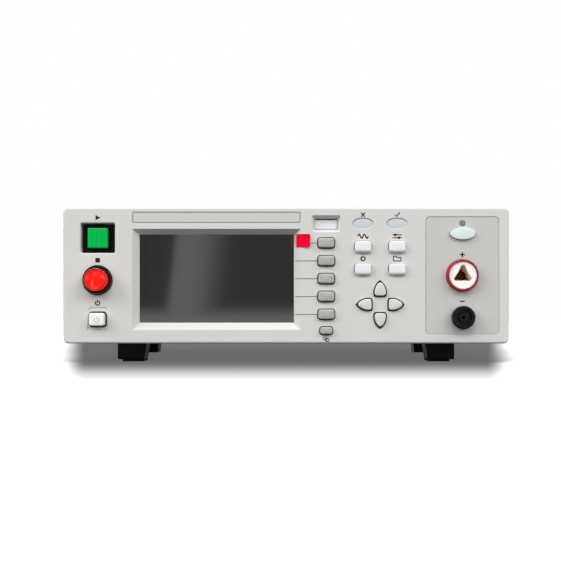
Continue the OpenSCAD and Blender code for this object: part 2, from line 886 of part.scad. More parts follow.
// Display module: a flat box behind the glass, with two ears on each side
module display_module() {
  color("darkgray")
    facing(screen_mid_x, window_mid_z, module_back)
      difference() {
        union() {
          translate([-glass_w / 2, -glass_h / 2, 0])
            cube([glass_w, glass_h, display_t]);
          for (sz = [-1, 1])
            translate([-glass_w / 2 - ear_l, sz * ear_z - ear_h / 2, 0])
              cube([glass_w + 2 * ear_l, ear_h, ear_t]);
        }
        for (sx = [-1, 1], sz = [-1, 1])
          translate([sx * ear_x, sz * ear_z, -cut])
            cylinder(r = board_hole_r, h = ear_t + 2 * cut);
      }
}

// Red pull tab: its foot lies on the glass, and it climbs the bevel and ends free over the panel's face
module film_pull_tab() {
  inner = screen_mid_x + window_w / 2;
  outer = screen_mid_x + screen_w / 2;
  color("crimson")
    translate([0, face_y, tab_top_z - tab_h])
      linear_extrude(tab_h)
        polygon([
          [inner - tab_foot, bevel_d], [inner - tab_sheet_t, bevel_d],
          [outer - tab_sheet_t, -seat_gap], [tab_right, -tab_lift],
          [tab_right, -tab_lift - tab_sheet_t], [outer - tab_sheet_t, -seat_gap - tab_sheet_t],
          [inner - 2 * tab_sheet_t, bevel_d - tab_sheet_t], [inner - tab_foot, bevel_d - tab_sheet_t]
        ]);
}

// Start switch: a flange against the back of the well and a square body that guides the plunger
module start_switch() {
  color("black")
    facing(start_x, start_mid_z, start_body_back)
      difference() {
        union() {
          linear_extrude(start_body_l + start_flange_t)
            square(start_body_side, center = true);
          translate([0, 0, start_body_l])
            linear_extrude(start_flange_t)
              square([well_w + 2 * well_wall, well_h + 2 * well_wall], center = true);
        }
        translate([0, 0, start_body_back - plunger_back - button_travel - cut])
          linear_extrude(start_body_back)
            rounded_rect(start_side + 2 * run_gap, start_side + 2 * run_gap, button_r + run_gap);
      }
}

module start_plunger() {
  color("black")
    facing(start_x, start_mid_z, plunger_back)
      linear_extrude(plunger_l)
        rounded_rect(start_side, start_side, button_r);
}

module start_button() {
  color("green")
    facing(start_x, start_mid_z, start_lens_t - start_lens_proud)
      soft_slab(start_side, start_side, start_lens_t, button_r, button_edge_r);
}

// Stop bezel: a round flange on the panel's face and a neck through it
module stop_bezel() {
  color("black")
    facing(start_x, stop_mid_z, bezel_neck_l)
      difference() {
        union() {
          cylinder(r = bezel_neck_r, h = bezel_neck_l + bezel_t / 2);
          translate([0, 0, bezel_neck_l])
            cylinder(r = stop_bezel_r, h = bezel_t);
        }
        translate([0, 0, -cut])
          cylinder(r = stop_r + run_gap, h = bezel_neck_l + bezel_t + 2 * cut);
      }
}

// Stop switch: a round body against the panel's back, around the bezel's neck
module stop_switch() {
  color("black")
    facing(start_x, stop_mid_z, face_t + stop_body_l)
      difference() {
        cylinder(r = stop_body_r, h = stop_body_l);
        translate([0, 0, stop_body_l + face_t - bezel_neck_l - seat_gap])
          cylinder(r = bezel_neck_r + seat_gap, h = bezel_neck_l);
        translate([0, 0, stop_body_l + face_t - stop_plunger_l - button_travel - cut])
          cylinder(r = stop_r + run_gap, h = stop_plunger_l + button_travel);
      }
}

// Stop button: a long round plunger with a slightly tapered head and a chamfered edge
module stop_button() {
  front = stop_plunger_l + stop_proud;
  color("red")
    facing(start_x, stop_mid_z, stop_plunger_l)
      rotate_extrude()
        polygon([
          [0, 0], [stop_r, 0], [stop_r, stop_plunger_l + bezel_t], [stop_top_r, front - stop_edge_r],
          [stop_top_r - stop_edge_r, front], [0, front]
        ]);
}

module power_switch() {
  body_w = power_w + 2 * (key_gap + power_body_wall);
  body_h = power_h + 2 * (key_gap + power_body_wall);
  color("dimgray")
    facing(start_x, power_mid_z, face_t + power_body_l)
      difference() {
        translate([-body_w / 2, -body_h / 2, 0])
          cube([body_w, body_h, power_body_l]);
        translate([0, 0, power_body_l + face_t - power_plunger_l - power_travel - cut])
          linear_extrude(power_plunger_l + power_travel + cut)
            rounded_rect(power_w + 2 * key_gap, power_h + 2 * key_gap, power_r + key_gap);
      }
}

module power_button() {
  color("whitesmoke")
    facing(start_x, power_mid_z, power_plunger_l)
      soft_slab(power_w, power_h, power_plunger_l + power_proud, power_r, power_edge_r);
}

module soft_key(i) {
  color("silver")
    key(soft_x, soft_zs[i - 1], soft_key_w, soft_key_h);
}

module copy_key() {
  color("silver")
    key(soft_x, copy_mid_z, copy_key_w, copy_key_h);
}

// Menu keys are numbered along the rows, from the upper left
module menu_key(i) {
  color("white")
    key(menu_xs[(i - 1) % 2], menu_zs[floor((i - 1) / 2)], menu_key_w, menu_key_h);
}

module arrow(i) {
  color("lightgray")
    arrow_key(i);
}

// Result lamp: an oval lens a little below the face, a flange behind it and a light pipe to the board
module result_lamp(x) {
  color("lightsteelblue")
    facing(x, lamp_mid_z, face_t) {
      linear_extrude(face_t - lamp_sunk)
        ellipse(lamp_w / 2, lamp_h / 2);
      translate([0, 0, -flange_t])
        linear_extrude(flange_t)
          ellipse(lamp_w / 2 + lamp_rim, lamp_h / 2 + lamp_rim);
      translate([-lamp_pipe[0] / 2, -lamp_pipe[1] / 2, face_t - board_depth + seat_gap])
        cube([lamp_pipe[0], lamp_pipe[1], board_depth - face_t - seat_gap - flange_t / 2]);
    }
}

module fail_lamp() {
  result_lamp(menu_xs[0]);
}

module pass_lamp() {
  result_lamp(menu_xs[1]);
}

// High-voltage lamp: a proud oval lens with a flange behind the panel and a short holder
module hv_lamp() {
  color("aliceblue")
    facing(output_x, hv_lamp_mid_z, face_t) {
      linear_extrude(face_t + hv_lamp_proud)
        ellipse(hv_lamp_w / 2, hv_lamp_h / 2);
      translate([0, 0, -hv_lamp_l])
        linear_extrude(hv_lamp_l)
          ellipse(hv_lamp_w / 2 + lamp_rim, hv_lamp_h / 2 + lamp_rim);
    }
}

module output_plate() {
  color("darkgray")
    facing(output_x, output_mid_z, output_pocket_d)
      difference() {
        linear_extrude(output_t)
          rounded_rect(output_w - 2 * seat_gap, output_h - 2 * seat_gap, output_r - seat_gap);
        translate([0, hv_lamp_mid_z - output_mid_z, -cut])
          linear_extrude(output_t + 2 * cut)
            ellipse(hv_lamp_w / 2 + seat_gap, hv_lamp_h / 2 + seat_gap);
        translate([0, socket_mid_z - output_mid_z, -cut])
          cylinder(r = insulator_r + seat_gap, h = output_t + 2 * cut);
        translate([0, jack_mid_z - output_mid_z, -cut])
          cylinder(r = jack_barrel_r + seat_gap, h = output_t + 2 * cut);
      }
}

module hv_ring() {
  color("red")
    facing(output_x, socket_mid_z, output_face)
      difference() {
        cylinder(r = ring_r, h = ring_proud);
        translate([0, 0, -cut])
          cylinder(r = insulator_r + ring_wall_gap, h = ring_proud + 2 * cut);
      }
}

// Outline of the socket's hole: three round lobes, one of them up, and the triangle between them
module lobed_hole() {
  lobes = [for (i = [0:2]) lobe_d * [cos(90 + 120 * i), sin(90 + 120 * i)]];
  sides = [for (i = [0:2]) lobe_r * [cos(150 + 120 * i), sin(150 + 120 * i)]];
  polygon([for (i = [0:2], j = [0:1]) lobes[(i + j) % 3] + sides[i]]);
  for (p = lobes)
    translate(p)
      circle(lobe_r);
}

// Insulator: a nose through the ring and the panel, a flange behind the panel and a thick back
module hv_insulator() {
  back = face_t + insulator_l;
  color("white")
    facing(output_x, socket_mid_z, back)
      difference() {
        union() {
          cylinder(r = insulator_back_r, h = insulator_l);
          translate([0, 0, insulator_l - insulator_flange_t])
            cylinder(r = insulator_flange_r, h = insulator_flange_t);
          translate([0, 0, insulator_l - insulator_flange_t / 2])
            cylinder(r = insulator_r, h = insulator_flange_t / 2 + face_t - output_face + insulator_front);
        }
        translate([0, 0, back - cavity_l])
          linear_extrude(cavity_l + insulator_front + cut)
            lobed_hole();
        translate([0, 0, -cut])
          cylinder(r = contact_stem_r + pin_gap, h = back);
      }
}

module hv_contact() {
  color("goldenrod")
    facing(output_x, socket_mid_z, cavity_l) {
      cylinder(r = contact_r, h = contact_l);
      translate([0, 0, -contact_stem_l])
        cylinder(r = contact_stem_r, h = contact_stem_l + contact_l / 2);
    }
}

// Return jack: a round head with a ring groove, a centre post and a barrel through the panel
module return_jack() {
  front = jack_barrel_l + jack_proud;
  color("black")
    facing(output_x, jack_mid_z, jack_barrel_l + output_face)
      difference() {
        rotate_extrude()
          polygon([
            [0, 0], [jack_barrel_r, 0], [jack_barrel_r, jack_barrel_l], [jack_r, jack_barrel_l],
            [jack_r, front - jack_edge_r], [jack_r - jack_edge_r, front], [jack_groove[1], front],
            [jack_groove[1], front - jack_groove[2]], [jack_groove[0], front - jack_groove[2]],
            [jack_groove[0], front - jack_post_sunk], [0, front - jack_post_sunk]
          ]);
        translate([0, 0, -cut])
          cylinder(r = sleeve_r + pin_gap, h = front - sleeve_sunk + cut);
        cylinder(r = plug_r + seat_gap, h = front + cut);
      }
}

// Sleeve that takes the plug, with a solder tail behind it
module return_sleeve() {
  color("gold")
    facing(output_x, jack_mid_z, sleeve_sunk + plug_l + sleeve_tail_l - jack_proud + output_face)
      difference() {
        union() {
          cylinder(r = sleeve_tail_r, h = sleeve_tail_l + 1);
          translate([0, 0, sleeve_tail_l - 1])
            cylinder(r = sleeve_r, h = plug_l + 1);
        }
        translate([0, 0, sleeve_tail_l])
          cylinder(r = plug_r, h = plug_l + cut);
      }
}

module return_nut() {
  color("silver")
    facing(output_x, jack_mid_z, face_t + nut_t)
      difference() {
        cylinder(r = nut_r, h = nut_t, $fn = 6);
        translate([0, 0, -cut])
          cylinder(r = jack_barrel_r + pin_gap, h = nut_t + 2 * cut);
      }
}

// Flap: a plate that stands on its hinge line, with a round lower edge and a pin at each end
module usb_flap() {
  color("aliceblue")
    translate([usb_x, face_y + flap_axis_depth, flap_axis_z]) {
      translate([-flap_w / 2, -flap_t / 2, 0])
        cube([flap_w, flap_t, flap_h]);
      rotate([0, 90, 0]) {
        cylinder(r = flap_t / 2, h = flap_w, center = true);
        cylinder(r = flap_pin_r, h = throat_w + 2 * flap_pin_l, center = true);
      }
    }
}

module usb_socket() {
  length = board_depth - usb_tub_d - run_gap;
  color("silver")
    facing(usb_x, usb_mid_z, board_depth)
      difference() {
        translate([-usb_shell[0] / 2, -usb_shell[1] / 2, 0])
          cube([usb_shell[0], usb_shell[1], length]);
        difference() {
          translate([usb_shell_t - usb_shell[0] / 2, usb_shell_t - usb_shell[1] / 2, usb_shell_t])
            cube([usb_shell[0] - 2 * usb_shell_t, usb_shell[1] - 2 * usb_shell_t, length]);
          translate([-usb_tongue[0] / 2, 0, 0])
            cube([usb_tongue[0], usb_tongue[1], length - usb_shell_t]);
        }
      }
}

module front_board() {
  left = board_left - board_margin;
  low = board_low - board_margin;
  color("darkgreen")
    difference() {
      translate([left, face_y + board_depth, low])
        cube([board_right + board_margin - left, board_t, board_high + board_margin - low]);
      for (p = board_bosses)
        facing(p[0], p[1], board_depth + board_t + cut)
          cylinder(r = board_hole_r, h = board_t + 2 * cut);
    }
}

module key_switches() {
  color("black")
    for (p = key_places)
      facing(p[0], p[1], board_depth) {
        translate([-switch_side / 2, -switch_side / 2, 0])
          cube([switch_side, switch_side, switch_t]);
        cylinder(r = switch_pin_r, h = switch_t + switch_pin_l);
      }
}

// Tabs that stand up from a case sheet and are screwed to the panels, drawn for one level
module tabs(xs, depth, z_edge, up) {
  for (x = xs)
    translate([x - tab_plate_w / 2, face_y + depth, up > 0 ? z_edge : z_edge - tab_plate_h])
      cube([tab_plate_w, sheet_t, tab_plate_h]);
}

module tab_holes(xs, zs, depth) {
  for (x = xs, z = zs)
    facing(x, z, depth + sheet_t + cut)
      cylinder(r = case_hole_r, h = sheet_t + 2 * cut);
}

module side_screw_holes() {
  for (y = side_screw_ys)
    translate([0, y, side_screw_z])
      rotate([0, 90, 0])
        cylinder(r = case_hole_r, h = case_w + 2 * cut, center = true);
}

// Chassis: a floor, two low side walls inside the cover's, and tabs for both panels
module bottom_chassis() {
  color("gray")
    difference() {
      union() {
        facing(0, case_mid_z, case_end)
          linear_extrude(case_end - case_start)
            intersection() {
              rounded_rect(case_w, case_h, skirt_corner_r);
              translate([0, (sheet_t - case_h) / 2])
                square([case_w + cut, sheet_t], center = true);
            }
        for (sx = [-1, 1])
          translate([sx * (wall_x - sheet_t / 2) - sheet_t / 2, face_y + case_start, floor_z - sheet_t / 2])
            cube([sheet_t, case_end - case_start, wall_h - sheet_t / 2]);
        tabs(post_xs, case_start, case_bottom, 1);
        tabs(rear_tab_xs, case_end - sheet_t, case_bottom, 1);
      }
      side_screw_holes();
      tab_holes(post_xs, [post_zs[0]], case_start);
      tab_holes(rear_tab_xs, [post_zs[0]], case_end - sheet_t);
      for (p = foot_places)
        translate([p[0], p[1], case_bottom - cut])
          cylinder(r = case_hole_r, h = sheet_t + 2 * cut);
    }
}

// Slot with round ends in a side wall, cut right through the case
module vent(y) {
  translate([0, y, case_mid_z + vent_rise])
    rotate([90, 0, 90])
      linear_extrude(case_w + 2 * cut, center = true) {
        square([vent_w, vent_l - vent_w], center = true);
        for (s = [-1, 1])
          translate([0, s * (vent_l - vent_w) / 2])
            circle(vent_w / 2);
      }
}

// Cover: a sheet over the top and down both sides, with tabs for both panels and cooling slots
module top_cover() {
  vent_starts = [
    face_y + case_start + vent_inset,
    face_y + case_end - vent_inset - (vent_count - 1) * vent_pitch
  ];
  color("lightgray")
    difference() {
      union() {
        difference() {
          facing(0, case_mid_z, case_end)
            linear_extrude(case_end - case_start)
              difference() {
                rounded_rect(case_w, case_h, skirt_corner_r);
                square([case_w - 2 * sheet_t, case_h - 2 * sheet_t], center = true);
              }
          translate([-case_w / 2 - cut, face_y, case_bottom - cut])
            cube([case_w + 2 * cut, case_end + cut, sheet_t + seat_gap + cut]);
        }
        tabs(post_xs, case_start, case_top, -1);
        tabs(rear_tab_xs, case_end - sheet_t, case_top, -1);
      }
      side_screw_holes();
      tab_holes(post_xs, [post_zs[1]], case_start);
      tab_holes(rear_tab_xs, [post_zs[1]], case_end - sheet_t);
      for (start = vent_starts, i = [0:vent_count - 1])
        vent(start + i * vent_pitch);
    }
}

// D-shaped connector outline
module dsub_outline(w) {
  half = w / 2;
  polygon([
    [-half, dsub_h / 2], [half, dsub_h / 2], [half - dsub_rake, -dsub_h / 2], [dsub_rake - half, -dsub_h / 2]
  ]);
}

// Rear panel with the holes for the fan, the inlet, the earth stud and the two ports
module rear_panel() {
  inlet_hole = [inlet_w - 2 * (inlet_step - seat_gap), inlet_h - 2 * (inlet_step - seat_gap)];
  color("gray")
    facing_back(0, case_mid_z, case_end)
      difference() {
        linear_extrude(rear_t)
          rounded_rect(case_w, case_h, skirt_corner_r);
        translate([-fan_x, 0, -cut])
          cylinder(r = fan_bore_r, h = rear_t + 2 * cut);
        for (sx = [-1, 1], sz = [-1, 1])
          translate([sx * fan_hole - fan_x, sz * fan_hole, -cut])
            cylinder(r = case_hole_r, h = rear_t + 2 * cut);
        translate([-inlet_x, inlet_mid_z - case_mid_z, -cut])
          linear_extrude(rear_t + 2 * cut)
            square(inlet_hole, center = true);
        translate([-stud_x, stud_z - case_mid_z, -cut])
          cylinder(r = stud_r + seat_gap, h = rear_t + 2 * cut);
        for (p = [[serial_x, serial_w], [handler_x, handler_w]])
          translate([-p[0], port_z - case_mid_z, -cut])
            linear_extrude(rear_t + 2 * cut)
              square([p[1] + 2 * seat_gap, dsub_h + 2 * seat_gap], center = true);
        for (x = rear_tab_xs, z = post_zs)
          translate([-x, z - case_mid_z, -cut])
            cylinder(r = case_hole_r, h = rear_t + 2 * cut);
      }
}

// All M4 screws: the cover's sides, both panels' tabs, the fan and the feet
module case_screws() {
  color("silver") {
    for (sx = [-1, 1], y = side_screw_ys)
      translate([sx * case_w / 2, y, side_screw_z])
        rotate([0, sx * 90, 0])
          screw(case_screw);
    for (x = post_xs, z = post_zs)
      facing_back(x, z, case_start + sheet_t)
        screw(case_screw);
    for (x = rear_tab_xs, z = post_zs)
      facing_back(x, z, case_depth)
        screw(case_screw);
    for (sx = [-1, 1], sz = [-1, 1])
      facing_back(fan_x + sx * fan_hole, case_mid_z + sz * fan_hole, case_depth + guard_t)
        screw(case_screw);
    for (p = foot_places)
      translate([p[0], p[1], case_bottom - foot_web])
        rotate([180, 0, 0])
          screw(case_screw);
  }
}

// All M3 screws: the front board, the display's ears and the main board
module board_screws() {
  color("silver") {
    for (p = board_bosses)
      facing_back(p[0], p[1], board_depth + board_t)
        screw(board_screw);
    for (sx = [-1, 1], sz = [-1, 1])
      facing_back(screen_mid_x + sx * ear_x, window_mid_z + sz * ear_z, module_back)
        screw(board_screw);
    for (p = main_board_holes())
      translate([p[0], p[1], floor_z + standoff_h + board_t])
        screw(board_screw);
  }
}

// Foot: a block that flares towards the case, drilled for its screw, with a step at its outer lower edge
module foot(x, y) {
  side = sign(x);
  translate([x, y, 0])
    difference() {
      translate([0, foot_l / 2, 0])
        rotate([90, 0, 0])
          linear_extrude(foot_l)
            polygon([
              [-side * foot_w / 2, pad_t], [side * foot_w / 2, pad_t],
              [side * foot_w / 2, case_bottom], [-side * (foot_w / 2 + foot_flare), case_bottom]
            ]);
      translate([0, 0, pad_t - cut])
        cylinder(r = case_screw[2] + foot_screw_room, h = case_bottom - foot_web - pad_t + cut);
      cylinder(r = case_hole_r, h = case_bottom + cut);
    }
}

module front_feet() {
  color("black")
    for (i = [0, 1])
      foot(foot_places[i][0], foot_places[i][1]);
}

module rear_feet() {
  color("black")
    for (i = [2, 3])
      foot(foot_places[i][0], foot_places[i][1]);
}

module foot_pads() {
  color("black")
    for (p = foot_places)
      difference() {
        translate([p[0] - sign(p[0]) * pad_step / 2 - pad_w / 2, p[1] - foot_l / 2, 0])
          cube([pad_w, foot_l, pad_t]);
        translate([p[0], p[1], -cut])
          cylinder(r = case_screw[2] + foot_screw_room, h = pad_t + 2 * cut);
      }
}

// Fan frame: a square housing with a round bore, four arms and a disc with the spindle
module fan_frame() {
  color("black")
    facing_back(fan_x, case_mid_z, case_end - fan_t) {
      difference() {
        linear_extrude(fan_t)
          rounded_rect(fan_side, fan_side, fan_corner_r);
        translate([0, 0, -cut])
          cylinder(r = fan_bore_r, h = fan_t + 2 * cut);
        for (sx = [-1, 1], sy = [-1, 1])
          translate([sx * fan_hole, sy * fan_hole, -cut])
            cylinder(r = case_hole_r, h = fan_t + 2 * cut);
      }
      cylinder(r = fan_disc_r, h = fan_disc_t);
      for (turn = [45:90:315])
        rotate(turn)
          translate([fan_disc_r - 2, -fan_arm_w / 2, 0])
            cube([fan_bore_r - fan_disc_r + 3, fan_arm_w, fan_disc_t]);
      cylinder(r = fan_spindle_r, h = spindle_l);
    }
}

module fan_rotor() {
  color("dimgray")
    facing_back(fan_x, case_mid_z, case_end - fan_t + rotor_start)
      difference() {
        union() {
          cylinder(r = fan_hub_r, h = hub_l);
          intersection() {
            for (i = [0:blade_count - 1])
              rotate(i * 360 / blade_count)
                translate([fan_hub_r - 2, 0, hub_l / 2])
                  rotate([blade_pitch, 0, 0])
                    translate([0, -blade_chord / 2, -blade_t / 2])
                      cube([fan_bore_r, blade_chord, blade_t]);
            cylinder(r = fan_bore_r - blade_gap, h = hub_l);
          }
        }
        translate([0, 0, -cut])
          cylinder(r = fan_spindle_r + pin_gap, h = hub_l - hub_cap_t + cut);
      }
}

// Fan guard: flat rings on two crossed bars, with an ear at each screw
module fan_guard() {
  outer = fan_bore_r - guard_inset;
  step = outer / guard_rings;
  diagonal = fan_hole * sqrt(2);
  color("silver")
    facing_back(fan_x, case_mid_z, case_depth)
      difference() {
        union() {
          for (i = [1:guard_rings])
            difference() {
              cylinder(r = i * step, h = guard_t);
              translate([0, 0, -cut])
                cylinder(r = i * step - guard_ring_w, h = guard_t + 2 * cut);
            }
          for (turn = [45, 135])
            rotate(turn)
              translate([-diagonal, -guard_ring_w, 0])
                cube([2 * diagonal, 2 * guard_ring_w, guard_t]);
          for (turn = [45:90:315])
            rotate(turn)
              translate([diagonal, 0, 0])
                cylinder(r = guard_ear_r, h = guard_t);
        }
        for (turn = [45:90:315])
          rotate(turn)
            translate([diagonal, 0, -cut])
              cylinder(r = case_hole_r, h = guard_t + 2 * cut);
      }
}

// Mains inlet: a flange on the rear panel, a body through it, a cavity with three blades and a drawer's slot
module mains_inlet() {
  half_w = inlet_cavity[0] / 2;
  half_h = inlet_cavity[1] / 2;
  top = inlet_body_l + inlet_flange_t;
  color("black")
    facing_back(inlet_x, inlet_mid_z, case_depth - inlet_body_l) {
      difference() {
        union() {
          linear_extrude(top)
            square([inlet_w - 2 * inlet_step, inlet_h - 2 * inlet_step], center = true);
          translate([0, 0, inlet_body_l])
            linear_extrude(inlet_flange_t)
              rounded_rect(inlet_w, inlet_h, inlet_step);
        }
        translate([0, inlet_cavity_z, top - inlet_cavity[2]])
          linear_extrude(inlet_cavity[2] + cut)
            polygon([
              [-half_w, -half_h], [half_w, -half_h],
              [half_w, half_h - inlet_chamfer], [half_w - inlet_chamfer, half_h],
              [inlet_chamfer - half_w, half_h], [-half_w, half_h - inlet_chamfer]
            ]);
        translate([0, drawer_z, top - drawer[2] - run_gap])
          linear_extrude(drawer[2] + run_gap + cut)
            square([drawer[0] + 2 * run_gap, drawer[1] + 2 * run_gap], center = true);
      }
      for (p = [[-inlet_pin_x, -inlet_pin_z], [inlet_pin_x, -inlet_pin_z], [0, inlet_pin_z]])
        translate([p[0], inlet_cavity_z + p[1], top - inlet_cavity[2] - cut])
          linear_extrude(inlet_pin[2] + cut)
            square([inlet_pin[0], inlet_pin[1]], center = true);
    }
}

// Fuse drawer: a tray in the inlet's slot with a lip to pull it by
module fuse_drawer() {
  wall = 1.2;
  color("dimgray")
    facing_back(inlet_x, inlet_mid_z + drawer_z, case_depth + inlet_flange_t - drawer[2])
      difference() {
        union() {
          linear_extrude(drawer[2])
            square([drawer[0], drawer[1]], center = true);
          translate([0, 0, drawer[2] + run_gap])
            linear_extrude(drawer_lip_t)
              rounded_rect(
                drawer[0] + 2 * drawer_lip_over, drawer[1] + 2 * drawer_lip_over, drawer_lip_over
              );
          translate([0, 0, drawer[2] - 1])
            linear_extrude(drawer_lip_t)
              square([drawer[0] - 2, drawer[1] - 2], center = true);
        }
        translate([-drawer[0] / 2 + wall, -drawer[1] / 2 + wall, wall])
          cube([drawer[0] - 2 * wall, drawer[1], drawer[2] - 3 * wall]);
      }
}

module earth_stud() {
  color("gold")
    facing_back(stud_x, stud_z, case_depth) {
      translate([0, 0, -rear_t - stud_inside])
        cylinder(r = stud_r, h = rear_t + stud_inside + stud_l);
      cylinder(r = stud_nut_r, h = stud_nut_t, $fn = 6);
      translate([0, 0, -rear_t - stud_nut_t])
        cylinder(r = stud_nut_r, h = stud_nut_t, $fn = 6);
    }
}

// Connector with a D-shaped shell, a flange on the rear panel and two hexagon posts
module dsub_port(x, w) {
  flange_half = w / 2 + dsub_flange_over;
  facing_back(x, port_z, case_depth) {
    translate([0, 0, -dsub_body_l])
      linear_extrude(dsub_body_l + dsub_proud)
        dsub_outline(w);
    linear_extrude(dsub_flange_t)
      rounded_rect(2 * flange_half, dsub_flange_h, 2);
    for (sx = [-1, 1])
      translate([sx * (w / 2 + dsub_flange_over / 2), 0, 0])
        cylinder(r = dsub_post_r, h = dsub_post_l, $fn = 6);
  }
}

module serial_port() {
  color("silver")
    dsub_port(serial_x, serial_w);
}

module handler_port() {
  color("silver")
    dsub_port(handler_x, handler_w);
}

// Toroidal mains transformer, lying on the chassis
module mains_transformer() {
  color("goldenrod")
    translate([toroid_at[0], face_y + toroid_at[1], floor_z + toroid_h / 2])
      rotate_extrude()
        translate([(toroid_r + toroid_bore_r) / 2, 0])
          rounded_rect(toroid_r - toroid_bore_r, toroid_h, toroid_edge_r);
}

// High-voltage transformer: a stack of core sheets standing on the chassis, with the coil around it
module hv_transformer() {
  color("sienna")
    translate([hv_transformer_at[0], face_y + hv_transformer_at[1], floor_z]) {
      translate([-core[0] / 2, -core[1] / 2, 0])
        cube(core);
      translate([-coil[0] / 2, -coil[1] / 2, (core[2] - coil[2]) / 2])
        cube(coil);
    }
}

function main_board_holes() = [
  for (sx = [-1, 1], sy = [-1, 1])
    [main_board_x + sx * (main_board_size[0] / 2 - main_board_hole),
     main_board_y + sy * (main_board_size[1] / 2 - main_board_hole)]
];

// Main board on four pillars, with the output stage's finned heat sink on it
module main_board() {
  top = floor_z + standoff_h + board_t;
  fin_pitch = (sink_size[0] - sink_fin_t) / (sink_fins - 1);
  color("darkgreen")
    difference() {
      union() {
        translate([main_board_x, main_board_y, floor_z + standoff_h])
          linear_extrude(board_t)
            square(main_board_size, center = true);
        for (p = main_board_holes())
          translate([p[0], p[1], floor_z])
            cylinder(r = standoff_r, h = standoff_h);
        translate([main_board_x - sink_size[0] / 2, main_board_y - sink_size[1] / 2, top]) {
          cube([sink_size[0], sink_size[1], sink_base_t]);
          for (i = [0:sink_fins - 1])
            translate([i * fin_pitch, 0, 0])
              cube([sink_fin_t, sink_size[1], sink_size[2]]);
        }
      }
      for (p = main_board_holes())
        translate([p[0], p[1], floor_z + 0.5])
          cylinder(r = board_hole_r, h = standoff_h + board_t + cut);
    }
}

front_panel();
nameplate();
display_glass();
display_module();
film_pull_tab();
start_switch();
start_plunger();
start_button();
stop_bezel();
stop_switch();
stop_button();
power_switch();
power_button();
soft_key(1);  // soft_key_1
soft_key(2);  // soft_key_2
soft_key(3);  // soft_key_3
soft_key(4);  // soft_key_4
soft_key(5);  // soft_key_5
copy_key();
menu_key(1);  // menu_key_1
menu_key(2);  // menu_key_2
menu_key(3);  // menu_key_3
menu_key(4);  // menu_key_4
arrow(0);  // arrow_up
arrow(1);  // arrow_down
arrow(2);  // arrow_left
arrow(3);  // arrow_right
fail_lamp();
pass_lamp();
hv_lamp();
output_plate();
hv_ring();
hv_insulator();
hv_contact();
return_jack();
return_sleeve();
return_nut();
usb_flap();
usb_socket();
front_board();
key_switches();
bottom_chassis();
top_cover();
rear_panel();
case_screws();
board_screws();
front_feet();
rear_feet();
foot_pads();
fan_frame();
fan_rotor();
fan_guard();
mains_inlet();
fuse_drawer();
earth_stud();
serial_port();
handler_port();
mains_transformer();
hv_transformer();
main_board();
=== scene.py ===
import math

import bmesh
import bpy
import numpy as np
from mathutils.geometry import delaunay_2d_cdt
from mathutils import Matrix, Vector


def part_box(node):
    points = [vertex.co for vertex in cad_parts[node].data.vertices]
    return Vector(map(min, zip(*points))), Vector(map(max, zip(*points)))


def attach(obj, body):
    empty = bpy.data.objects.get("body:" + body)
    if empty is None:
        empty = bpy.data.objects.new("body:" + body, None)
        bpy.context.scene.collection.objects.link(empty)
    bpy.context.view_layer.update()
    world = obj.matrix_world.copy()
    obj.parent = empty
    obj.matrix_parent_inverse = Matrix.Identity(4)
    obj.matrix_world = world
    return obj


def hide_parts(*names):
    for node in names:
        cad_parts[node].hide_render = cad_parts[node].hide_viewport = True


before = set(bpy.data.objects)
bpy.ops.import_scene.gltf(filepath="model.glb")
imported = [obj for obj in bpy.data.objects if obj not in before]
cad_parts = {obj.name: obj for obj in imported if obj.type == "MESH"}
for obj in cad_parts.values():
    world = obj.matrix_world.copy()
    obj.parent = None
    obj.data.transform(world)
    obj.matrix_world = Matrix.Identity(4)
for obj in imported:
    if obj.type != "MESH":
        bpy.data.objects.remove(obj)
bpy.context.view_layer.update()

# Camera: it stands a metre in front of the panel and looks straight at it, with the lens's axis low on the
# panel. The frame is shifted up and a little to the left of that axis, as a view camera's back is.
mm = 0.001
photo_px = 561
axis_px = (286, 316.4)
camera_height = 44.6 * mm
camera_distance = 1000 * mm
lens_length = 66.62
face_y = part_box("front_panel")[0].y / mm
eye = bpy.data.objects.new("camera", bpy.data.cameras.new("camera"))
eye.location = (0, face_y * mm - camera_distance, camera_height)
eye.rotation_euler = (math.pi / 2, 0, 0)
eye.data.lens = lens_length
eye.data.shift_x = (photo_px / 2 - axis_px[0]) / photo_px
eye.data.shift_y = (axis_px[1] - photo_px / 2) / photo_px
bpy.context.scene.collection.objects.link(eye)
bpy.context.scene.camera = eye

# Chassis, cover and rear panel: bent steel sheet with a light grey powder coat that is baked on.
# The melted powder leaves a fine orange peel and a few paler grains, and screws hold the sheets together.
case_grey = (180, 181, 177)


def linear(colour, level=1):
    """A colour as it looks, 0 to 255, as linear light times a level: its share of 255 plus 0.055,
    over 1.055, to the power 2.4."""
    return [level * ((part / 255 + 0.055) / 1.055) ** 2.4 for part in colour] + [1]


